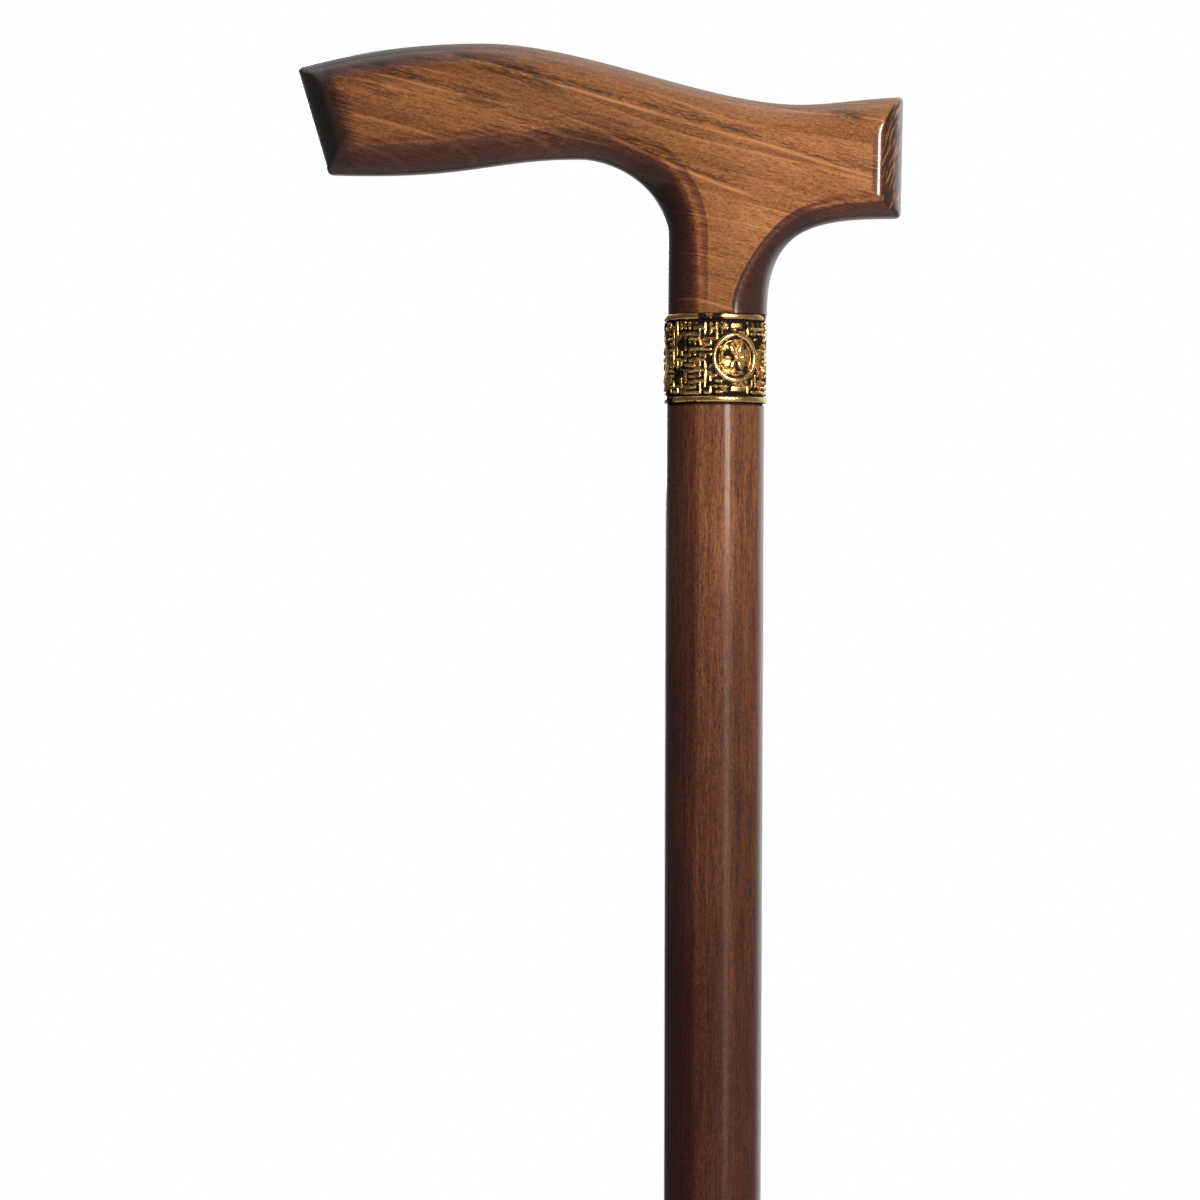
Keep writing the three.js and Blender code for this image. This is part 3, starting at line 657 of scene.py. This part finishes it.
def buildHandle(shape, tones):
    levels = handleLoops(shape)
    crownLine, heelLine, underLine, _ = levels[0][1]
    count, across = len(crownLine), len(heelLine) + 1
    crownX, underX = crownLine[:, 0], underLine[:, 0]
    vertices, stain = [], []

    def addPoints(points, y, stains):
        first = len(vertices)
        vertices.extend(np.column_stack([points[:, 0], y, points[:, 1]]).tolist())
        stain.extend(stains)
        return np.arange(first, first + len(points))

    def loopPoints(level):
        crown, heel, under, palm = level
        return np.vstack([crown, heel, under[::-1], palm[::-1]])

    heights = ramp(underLine[:, 1], *tones["crookHeights"])
    atCrook = ramp(underX, *tones["crookFrom"]) * between(tones["crookLow"], 1, heights) * (underX < 0)
    # painted light: where bounce light falls under the palm arm
    underArmPaintedLight = ramp(underX, *tones["armFrom"]) * ramp(underX, *tones["armTo"])
    atHeel = ramp(underX, *tones["heelFrom"]) * (underX > 0)  # darkest round the bend beside the neck
    heelTip = ramp(underX, *tones["heelTipFrom"])
    # painted highlight along the under crease, stronger at the crook and at the heel's tip
    creaseHighlight = tones["worn"] + tones["highlightAtCrook"] * atCrook + tones["highlightAtHeelTip"] * heelTip

    # painted shade: a dark line along the crown's crease towards the palm
    def creaseShade(x):
        return tones["crownCrease"] * ramp(x, *tones["crownCreaseFrom"])

    def loopStain(share, soft):  # on one level of the rounded edges
        onCrown = between(*tones["crown"], ramp(crownX, *tones["crownFrom"]))
        onCrown = onCrown + tones["palmCrown"] * ramp(crownX, *tones["palmCrownFrom"])
        onCrown = between(onCrown, creaseShade(crownX), share ** 5)
        under = 1.0 - 0.3 * share ** 2 - 0.2 * soft
        # painted highlight: a lighter line along the middle of each under crease
        worn = math.exp(-((soft - 0.55) / 0.2) ** 2)
        below = under + atCrook * (0.5 * (1 - share) + 0.15 * share ** 2 - 0.1 * soft) - creaseHighlight * worn
        below = below + atHeel * (0.12 + 0.15 * (1 - share) + 0.28 * share ** 2)
        below = below + tones["arm"] * underArmPaintedLight + tones["heelTip"] * heelTip * (1 - share ** 3)
        ends = [under] * (across - 1)
        return [*onCrown, *ends, *below[::-1], *ends]

    def faceStain(points, crown, under):  # it thins out over the face from the edges, and the painted shade of the crown's crease reaches a little onto it
        palmFade, heelFade = tones["faceFade"]
        heelFade = heelFade + tones["faceFadeTip"] * ramp(under[0], *tones["faceFadeFrom"])
        reach = palmFade if under[0] < 0 else heelFade
        fromUnder = np.linalg.norm(points - under, axis=1) / reach
        fromCrown = np.linalg.norm(points - crown, axis=1) / tones["crownFade"]
        shade = creaseShade(crown[0]) * np.clip(1 - fromCrown, 0, 1)
        return tones["face"] * np.clip(1 - fromUnder, 0, 1) ** 1.2 + shade

    loops = []
    for k in range(1 - len(levels), len(levels)):  # from the front face round to the back
        share, level = levels[abs(k)]
        points = loopPoints(level)
        soft = max(0, abs(k) - shape["arcLevels"]) / shape["creaseLevels"]
        y = np.sign(k) * share * halfThickness(points, shape)
        loops.append(addPoints(points, y, loopStain(share, soft)))
    faces = ringFaces(loops)

    crownLine, _, underLine, _ = levels[-1][1]
    underStart = count + across - 1
    edgeNear = nearestPoint([(x, 0, z) for x, z in loopPoints(levels[-1][1])])
    rowShares = np.linspace(0, 1, across + 1)[1:-1, None]
    for loop, side in ((loops[0], -1), (loops[-1], 1)):  # the two side faces
        grid = []
        for i, (crown, under) in enumerate(zip(crownLine, underLine)):
            if i == 0:
                inner = loop[underStart + count:][::-1]
            elif i == count - 1:
                inner = loop[count:underStart]
            else:
                points = between(crown, under, rowShares)
                inward = np.array([edgeNear((x, 0, z))[2] for x, z in points])
                half = halfThickness(points, shape) + shape["faceCrown"] * ramp(inward, *shape["swellIn"])
                inner = addPoints(points, side * half, faceStain(points, crown, under))
            grid.append([loop[i], *inner, loop[underStart + count - 1 - i]])
        for left, right in zip(grid, grid[1:]):
            for j in range(across):
                corners = (left[j], left[j + 1], right[j + 1], right[j])
                faces.append(corners if side < 0 else corners[::-1])

    mesh = bpy.data.meshes.new("handle_beech")
    place = np.array(vertices) * mm + np.array([0, 0, neckZ])
    mesh.from_pydata(place.tolist(), [], [tuple(int(v) for v in f) for f in faces])
    mesh.update()
    piece = newObject("handle_beech", mesh)
    nearest = nearestPoint(place)

    def cylinder(name, radius, low, high):
        rod = bmesh.new()
        bmesh.ops.create_cone(rod, cap_ends=True, segments=96, radius1=radius * mm, radius2=radius * mm,
                              depth=(high - low) * mm)
        bmesh.ops.translate(rod, verts=rod.verts, vec=(0, 0, neckZ + (low + high) / 2 * mm))
        tool = newObject(name, bpy.data.meshes.new(name))
        rod.to_mesh(tool.data)
        rod.free()
        return tool

    tenon = cylinder("tenonTool", shape["tenonRadius"], -shape["tenonLength"], 4)
    bore = cylinder("boreTool", shape["boreRadius"], -shape["tenonLength"] - 1, shape["boreDepth"])
    for tool, operation in ((tenon, "UNION"), (bore, "DIFFERENCE")):
        cut = piece.modifiers.new(operation, "BOOLEAN")
        cut.operation, cut.object, cut.solver = operation, tool, "EXACT"
    evaluated(piece)
    for tool in (tenon, bore):
        bpy.data.objects.remove(tool)

    # The stain, with the painted shade, highlight and light along the edges, and the end grain are written on
    # the finished mesh.
    piece.data.update()

    def perVertex(label):
        values = np.zeros(len(piece.data.vertices) * 3)
        piece.data.vertices.foreach_get(label, values)
        return values.reshape(-1, 3)

    normals, places = perVertex("normal"), perVertex("co")
    x, height = places[:, 0] / mm, (places[:, 2] - neckZ) / mm
    bevel = shape["endRound"]

    def endFace(top, toe, side):  # 1 on the end and its bevels, and how far from the end each point is
        rise = np.subtract(top, toe)
        away = side * np.array([rise[1], 0, -rise[0]]) / np.linalg.norm(rise)
        inside = -((x - top[0]) * away[0] + (height - top[1]) * away[2])
        return ramp(normals @ away, *tones["endFacing"]) * (inside < tones["endDepth"]), inside

    palmEnd, fromPalm = endFace(shape["palmTop"], shape["palmToe"], -1)
    heelEnd, _ = endFace(shape["heelTop"], shape["heelToe"], 1)
    # The black stain wraps round the palm end's upper corner.
    high = ramp(height - shape["palmToe"][1], *tones["blackFrom"])
    palmEnd = np.maximum(palmEnd, ramp(fromPalm, bevel + tones["blackEdge"], bevel) * high)
    onMesh = np.array([stain[nearest(point)[1]] for point in places])
    nearPalm = np.clip(1 - (fromPalm - bevel) / tones["endFade"], 0, 1)
    zone = between(*tones["besideEnd"], ramp(height - shape["palmTop"][1], *tones["besideEndFrom"]))
    besideEnd = np.clip(1 - (fromPalm - bevel) / zone, 0, 1) * (1 - 0.8 * np.clip(onMesh, 0, 1) * (1 - high))
    for name, values in {
        "stain": np.maximum(onMesh, 0.4 * nearPalm ** 1.5), "besideEnd": besideEnd,
        "palmEnd": palmEnd, "heelEnd": heelEnd,
    }.items():
        attribute = piece.data.attributes.new(name, "FLOAT", "POINT")
        attribute.data.foreach_set("value", np.array(values, np.float32))
    return smoothed(piece, 38)


handle = buildHandle(handleShape, handleStain)
dress(handle, "cane", ["handle"], handleFinish)
print("stage: handle", len(handle.data.polygons), "faces")


# The shaft, whose radius follows a rule down its length

shaftSizes = {
    "Top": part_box("collar")[0].z - 0.1 * mm, "Bottom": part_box("shaft")[0].z,
    "Top Radius": 11.15 * mm, "Bottom Radius": 9 * mm, "Taper Power": 1.8, "Edge": 0.5 * mm,
    "Tenon Radius": 10.2 * mm, "Tenon Length": 10.05 * mm, "Rings": 240, "Sides": 128,
}


def buildShaft(sizes):
    tree = GeometryTree("turnedShaft", sizes)
    net, size = tree.net, tree.size
    top, bottom, topRadius, sides = size("Top"), size("Bottom"), size("Top Radius"), size("Sides")

    def onAxis(height):
        return net.join(0.0, 0.0, height)

    share = net.node("GeometryNodeSplineParameter")
    crowding = 0.98  # the rings stand closer towards both ends
    crowded = share - net.math("SINE", share * (2 * math.pi)) * (crowding / (2 * math.pi))
    rings = tree.line(onAxis(bottom), onAxis(top), size("Rings"))
    rings = tree.shifted(rings, Position=onAxis(bottom + (top - bottom) * crowded))
    height = net.split(net.node("GeometryNodeInputPosition"))[2]
    fromTop = (top - height) / (top - bottom)
    radius = topRadius + (size("Bottom Radius") - topRadius) * fromTop ** size("Taper Power")
    fromEnd = net.math("MINIMUM", height - bottom, top - height)
    radius = radius - net.math("MAXIMUM", size("Edge") - fromEnd, 0.0)
    turned = tree.swept(rings, tree.circle(sides, 1.0), radius, caps=True)
    rod = {"Vertices": sides, "Radius": size("Tenon Radius"), "Depth": size("Tenon Length")}
    tenon = net.node("GeometryNodeMeshCylinder", inputs=rod)
    tenon = tree.moved(tenon, onAxis(top + size("Tenon Length") / 2))
    return smoothed(tree.make("shaft_beech", tree.joined(turned, tenon), shaftFinish), 30)


shaft = buildShaft(shaftSizes)
dress(shaft, "cane", ["shaft"], shaftFinish)
print("stage: shaft", len(shaft.data.polygons), "faces")


# The collar: a flat pressing with rims, ringed rosettes and a maze of bars, rolled round the joint

collarShape = {  # millimetres, and degrees for the turn
    "Radius": 11.2, "Half Height": 10.0, "Middle Height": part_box("collar")[0].z / mm + 10.0, "Seam": 0.25,
    "Medallions": 3, "Medallion Turn": 23.5, "Ring Radius": 5.1, "Ring Wire": 0.6,
    "Petals": 6, "Petal Reach": 2.0,
    "Maze Rows": 13, "Maze Pitch": 1.2, "Maze Columns": 57, "Maze Bar": 0.44, "Maze Seed": 4, "Maze Clear": 6.4,
    "Maze Warp": 0.9,
}
collarSheet = {  # millimetres
    "bore": -0.65, "rim": 0.5, "rimHeight": 1.35, "groove": 0.3, "grooveWidth": 0.7, "steps": 420,
    "innerRing": 1.15, "innerWire": 0.2,  # inside the ring, and its thickness
    "petal": (1.5, 2.6, 0.52), "heart": (1.9, 1.9, 0.62), "disc": (8.6, 8.6, 0.13),  # width, length, height
    "boss": (3.0, 1.15, 1.0), "bossReach": 7.1, "bossSink": 0.05, "bossClear": 2.2, "bossFrom": 5.0,
    "seamClear": 1.6, "highest": 0.6,  # relief is pressed no higher than this
}


def stripMesh(shape, sheet):  # the flat sheet with its two rims, as long as the collar is round
    half = shape["Half Height"]
    edge = []
    for i in range(9):  # a rolled rim, from the collar's end inwards
        a = math.pi * i / 8
        edge.append((half - sheet["rimHeight"] / 2 * (1 - math.cos(a)), sheet["rim"] * math.sin(a) ** 0.7))
    for share in (0.15, 0.35, 0.5, 0.65, 0.85, 1.0):  # the groove beside it
        edge.append((half - sheet["rimHeight"] - sheet["grooveWidth"] * share,
                     -sheet["groove"] * math.sin(math.pi * share)))
    profile = [(half, sheet["bore"])] + edge
    profile += [(6 * (1 - i / 6), 0.0) for i in range(7)]
    profile += [(-y, z) for y, z in reversed(profile[:-1])]
    length = 2 * math.pi * shape["Radius"] - shape["Seam"]
    vertices, rings = [], []
    for i in range(sheet["steps"] + 1):
        x = length * (i / sheet["steps"] - 0.5)
        rings.append(range(len(vertices), len(vertices) + len(profile)))
        vertices += [(x, y, z) for y, z in profile]
    mesh = bpy.data.meshes.new("collarStrip")
    mesh.from_pydata(vertices, [], ringFaces(rings) + [tuple(rings[0][::-1]), tuple(rings[-1])])
    return mesh


def buildCollar(shape, sheet):
    tree = GeometryTree("pressedCollar", shape)
    net, size = tree.net, tree.size
    radius, pitch = size("Radius"), size("Maze Pitch")

    def dome(label):
        width, length, height = sheet[label]
        return tree.moved(tree.ball(20, 12, 0.5), (0.0, 0.0, 0.0), (width, length, height * 2))

    def stamped(points, instance, turn=(0.0, 0.0, 0.0)):
        inputs = {"Points": points, "Instance": instance, "Rotation": turn}
        return net.node("GeometryNodeInstanceOnPoints", inputs=inputs)

    def stored(geometry, label, value):
        settings = {"data_type": "FLOAT", "domain": "POINT"}
        inputs = {"Geometry": geometry, "Name": label, "Value": value}
        return net.node("GeometryNodeStoreNamedAttribute", settings, inputs)

    def absolute(value):
        return net.math("ABSOLUTE", value)

    # One rosette in its ring, with a boss above and one below.
    ring = tree.swept(tree.circle(72, size("Ring Radius")), tree.circle(14, size("Ring Wire")))
    innerRing = tree.circle(60, size("Ring Radius") - sheet["innerRing"])
    innerRing = tree.swept(innerRing, tree.circle(10, sheet["innerWire"]))
    inputs = {"Vertices": size("Petals"), "Radius": size("Petal Reach")}
    petalSpots = net.node("GeometryNodeMeshCircle", inputs=inputs)
    index = net.node("GeometryNodeInputIndex")
    petalTurn = net.join(0.0, 0.0, index * (2 * math.pi) / size("Petals") - math.pi / 2)
    petals = stamped(petalSpots, dome("petal"), petalTurn)
    boss = net.node("GeometryNodeMeshCube", inputs={"Size": sheet["boss"]})
    boss = net.node("GeometryNodeSubdivideMesh", inputs={"Mesh": boss, "Level": 2})
    boss = net.node("GeometryNodeSubdivisionSurface", inputs={"Mesh": boss, "Level": 1})
    bosses = [tree.moved(boss, (0.0, side * sheet["bossReach"], -sheet["bossSink"])) for side in (1, -1)]
    medallion = tree.joined(ring, innerRing, petals, dome("heart"), dome("disc"), *bosses)

    apart = 2 * math.pi * radius / size("Medallions")
    first = size("Medallion Turn") * (math.pi / 180) * radius
    medallions = stamped(net.node("GeometryNodeMeshLine", inputs={
        "Count": size("Medallions"), "Start Location": net.join(first - apart, 0.0, 0.0),
        "Offset": net.join(apart, 0.0, 0.0),
    }), medallion)

    # A maze in the fields between: each point of a grid sends a bar along or up, and the lines wander a little.
    grid = net.node("GeometryNodeMeshGrid", inputs={
        "Size X": (2 * math.pi) * radius * (1 - 1 / size("Maze Columns")),
        "Size Y": pitch * (size("Maze Rows") - 1),
        "Vertices X": size("Maze Columns"), "Vertices Y": size("Maze Rows"),
    })
    grid = tree.moved(grid, net.join(0.0, pitch * -0.5, 0.0))
    seeded = {4: 0, 5: 1, "Seed": size("Maze Seed")}
    coin = net.node("FunctionNodeRandomValue", {"data_type": "INT"}, seeded, out=2)
    grid = stored(grid, "upward", coin)
    upward = net.node("GeometryNodeInputNamedAttribute", inputs={"Name": "upward"})
    x, y, _ = net.split(net.node("GeometryNodeInputPosition"))
    fromMedallion = net.math("WRAP", x + (1 - upward) * pitch * 0.5 - first, apart * 0.5, apart * -0.5)
    rise = y + upward * pitch * 0.5
    nearRing = net.vector("LENGTH", net.join(fromMedallion, rise, 0.0), out="Value") < size("Maze Clear")
    nearBoss = (absolute(fromMedallion) < sheet["bossClear"]) * (absolute(rise) > sheet["bossFrom"])
    nearSeam = absolute(x) > math.pi * radius - sheet["seamClear"]
    taken = net.math("MAXIMUM", net.math("MAXIMUM", nearRing, nearBoss), nearSeam)
    free = net.node("GeometryNodeDeleteGeometry", inputs={"Geometry": grid, "Selection": taken})

    farEnd = net.join(pitch, 0.0, 0.0)
    bar = tree.swept(tree.line((0.0, 0.0, 0.0), farEnd, 4), tree.circle(8, size("Maze Bar")))
    ball = tree.ball(8, 6, size("Maze Bar"))
    bar = tree.joined(bar, ball, tree.moved(ball, farEnd))
    bars = tree.realized(stamped(free, bar, net.join(0.0, 0.0, upward * (math.pi / 2))))
    spot = net.vector("MULTIPLY", net.node("GeometryNodeInputPosition"), (0.3, 0.3, 0.0))
    drift = net.vector("SUBTRACT", net.noise(spot, 1.0).out("Color"), (0.5, 0.5, 0.5))
    drift = net.vector("MULTIPLY", drift, (1.0, 1.0, 0.0))
    drift = net.node("ShaderNodeVectorMath", {"operation": "SCALE"}, {0: drift, "Scale": size("Maze Warp")})
    bars = tree.shifted(bars, Offset=drift)

    source = Wire(net, tree.source.outputs["Geometry"])
    flat = tree.realized(tree.joined(source, medallions, bars))
    x, y, z = net.split(net.node("GeometryNodeInputPosition"))
    flat = stored(flat, "relief", z)
    angle, reach = x / radius, (radius + net.math("MINIMUM", z, sheet["highest"])) * mm
    across, forward = reach * net.math("SINE", angle), reach * net.math("COSINE", angle) * -1.0
    rolled = tree.shifted(flat, Position=net.join(across, forward, (y + size("Middle Height")) * mm))
    return smoothed(tree.make("collar_brass", rolled, brassFinish, stripMesh(shape, sheet)), 42)


collar = buildCollar(collarShape, collarSheet)
dress(collar, "cane", ["collar"], brassFinish)
print("stage: collar", len(collar.data.polygons), "faces")


# The rubber tip, turned from one profile

tipShape = {  # millimetres
    "height": 48.0, "baseRadius": 19.0, "baseEdge": 5.0, "soleEdge": 1.0, "flareHeight": 15.0,
    "sleeve": 12.11, "ringDepth": 1.1, "ringPitch": 4.2, "rings": 3, "beadProud": 0.9, "beadHeight": 4.0,
    "boreTop": 9.31, "boreBottom": 9.15, "boreFloor": 8.0, "cornerRound": 0.7,
    "grooves": 3, "groovePitch": 4.0, "grooveWidth": 1.7, "grooveDepth": 1.6, "sides": 144,
}


def rounded(points, radius, steps=5):  # a profile with its corners rounded
    found = [points[0]]
    for before, here, after in zip(points, points[1:], points[2:]):
        before, here, after = np.array(before), np.array(here), np.array(after)
        inLength, outLength = np.linalg.norm(here - before), np.linalg.norm(after - here)
        reach = min(radius, 0.45 * inLength, 0.45 * outLength)
        start = here + (before - here) * reach / inLength
        end = here + (after - here) * reach / outLength
        found += [tuple(arch(start, here, end, i / steps)) for i in range(steps + 1)]
    return found + [points[-1]]


def tipProfile(s):  # from the middle of the sole round to the middle of the bore's floor
    base, sleeve, top = s["baseRadius"], s["sleeve"], s["height"]
    pitch, beadHeight, wide = s["ringPitch"], s["beadHeight"], s["grooveWidth"] / 2
    profile = [(0.0, 0.0)]
    for i in range(s["grooves"]):
        middle = (i + 1) * s["groovePitch"] + wide
        profile += [(middle - wide, 0), (middle - 0.6 * wide, s["grooveDepth"]),
                    (middle + 0.6 * wide, s["grooveDepth"]), (middle + wide, 0)]
    profile += [(base - s["soleEdge"], 0), (base, s["soleEdge"]), (base, s["baseEdge"])]
    flareTop = sleeve + s["ringDepth"]
    for i in range(1, 13):
        a = math.pi / 2 * i / 12
        rise = between(s["baseEdge"], s["flareHeight"], 1 - math.cos(a))
        profile.append((between(base, flareTop, math.sin(a)), rise))
    for i in range(s["rings"]):
        z = s["flareHeight"] + i * pitch
        profile += [(sleeve, z + 0.15 * pitch), (sleeve, z + 0.4 * pitch),
                    (flareTop, z + 0.55 * pitch), (flareTop, z + pitch)]
    ringsTop = s["flareHeight"] + s["rings"] * pitch
    bead = sleeve + s["beadProud"]
    profile += [(sleeve, ringsTop + 0.3 * pitch), (sleeve, top - beadHeight), (bead, top - 0.7 * beadHeight),
                (bead, top - 0.25 * beadHeight), (bead - 0.25 * beadHeight, top), (s["boreTop"] + 0.4, top),
                (s["boreTop"], top - 0.5), (s["boreBottom"], s["boreFloor"]), (0.0, s["boreFloor"])]
    return rounded(profile, s["cornerRound"])


def buildTip(shape):
    around = np.linspace(0, 2 * math.pi, shape["sides"], endpoint=False)
    vertices, rings = [], []
    for r, z in tipProfile(shape):
        angles = around if r > 0 else around[:1]  # one vertex on the axis
        rings.append([len(vertices) + i % len(angles) for i in range(shape["sides"])])
        vertices += [(r * mm * math.cos(a), r * mm * math.sin(a), z * mm) for a in angles]
    mesh = bpy.data.meshes.new("rubber_ferrule")
    mesh.from_pydata(vertices, [], ringFaces(rings))
    return smoothed(newObject("rubber_ferrule", mesh), 50)


tip = buildTip(tipShape)
dress(tip, "tip", ["rubber_tip"], rubberFinish)
for name in ("joint_stud", "steel_disc"):
    painted(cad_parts[name], steelFinish)
print("stage: tip", len(tip.data.polygons), "faces")


# Studio: pale floor, white background, a warm soft key to the right and a brighter room behind it

studio = {  # metres, watts and degrees
    "floorSize": 2.6, "floorColor": srgb(234, 234, 232), "ambient": 0.2,
    "cameraPlace": (-0.02596, -1.136, 0.79345), "cameraRoll": -0.2, "lens": 150.0,
    "warm": (1.0, 0.93, 0.83), "plain": (1.0, 1.0, 1.0),
    "lights": {  # azimuth, distance, height, size, power, aim and colour
        "keySoftbox": (28.3, 0.8, 1.085, (0.18, 0.39), 7.6, (0, 0, 0.86), "warm"),
        "keyLowerEdge": (28.3, 0.8, 0.875, (0.16, 0.11), 0.38, (0, 0, 0.86), "warm"),
        "keyTail": (28.3, 0.8, 0.7, (0.16, 0.24), 0.11, (0, 0, 0.8), "warm"),
        "overheadSoftbox": (-90.0, 0.2, 1.55, (0.9, 0.8), 1.15, (-0.15, 0, 0.9), "plain"),
        "bounceBelow": (20.0, 0.5, 0.25, (0.9, 0.9), 0.45, (-0.03, 0, 0.9), "warm"),
        "backFill": (197.0, 2.2, 1.3, (0.7, 0.9), 9.0, (0, 0, 0.6), "plain"),
    },
}


def buildStage(values):
    half = values["floorSize"] / 2
    mesh = bpy.data.meshes.new("floor")
    corners = [(-half, -half, 0), (half, -half, 0), (half, half, 0), (-half, half, 0)]
    mesh.from_pydata(corners, [], [(0, 1, 2, 3)])
    floor = newObject("floor", mesh)

    def pale(net):
        color = net.mix(net.noise(net.place(), 2, scale=1.5), values["floorColor"], srgb(242, 242, 240))
        return {"Base Color": color, "Roughness": 0.85}

    mesh.materials.append(newMaterial("paleFloor", pale))

    world = bpy.data.worlds.new("studio")
    bpy.context.scene.world = world
    net = emptied(world)
    path = net.node("ShaderNodeLightPath")
    camera = path.out("Is Camera Ray")
    x, y, z = net.split(net.node("ShaderNodeTexCoord", out="Generated"))
    side = net.eased(x, -0.3, 0.8, 0.45, 1.0)
    behindRight = net.eased(y, 0.38, 0.85) * net.eased(x, 0.05, 0.5) * net.remap(z, -0.4, -0.1)
    behindAbove = net.eased(y, 0.05, 0.5, 0.0, 0.46) * net.eased(z, 0.2, 0.6)
    behind = net.eased(y, 0.9, 0.99)
    room = side * values["ambient"] + behindRight + behindAbove
    room = net.math("MAXIMUM", room, behind * path.out("Is Glossy Ray"))
    strength = net.math("MAXIMUM", camera + (1 - camera) * room, behind * path.out("Is Transmission Ray"))
    background = net.node("ShaderNodeBackground", inputs={"Color": (1.0, 1.0, 1.0, 1.0), "Strength": strength})
    net.node("ShaderNodeOutputWorld", inputs={"Surface": background})


def buildLights(values):
    for name, (azimuth, distance, height, size, power, aim, color) in values["lights"].items():
        light = bpy.data.lights.new(name, "AREA")
        light.color = values[color]
        light.shape, light.energy = "RECTANGLE", power
        light.size, light.size_y = size
        lamp = newObject(name, light)
        a = math.radians(azimuth)
        lamp.location = (distance * math.sin(a), -distance * math.cos(a), height)
        lamp.rotation_euler = (Vector(aim) - lamp.location).to_track_quat("-Z", "Y").to_euler()


def buildCamera(values):
    camera = newObject("camera", bpy.data.cameras.new("camera"))
    camera.data.lens, camera.data.sensor_width = values["lens"], 36
    camera.data.clip_start, camera.data.clip_end = 0.02, 50
    camera.location = values["cameraPlace"]
    camera.rotation_euler = (math.radians(90), math.radians(values["cameraRoll"]), 0)
    bpy.context.scene.camera = camera


buildStage(studio)
buildLights(studio)
buildCamera(studio)
bpy.context.scene.view_settings.view_transform = "Standard"
print("stage: studio")
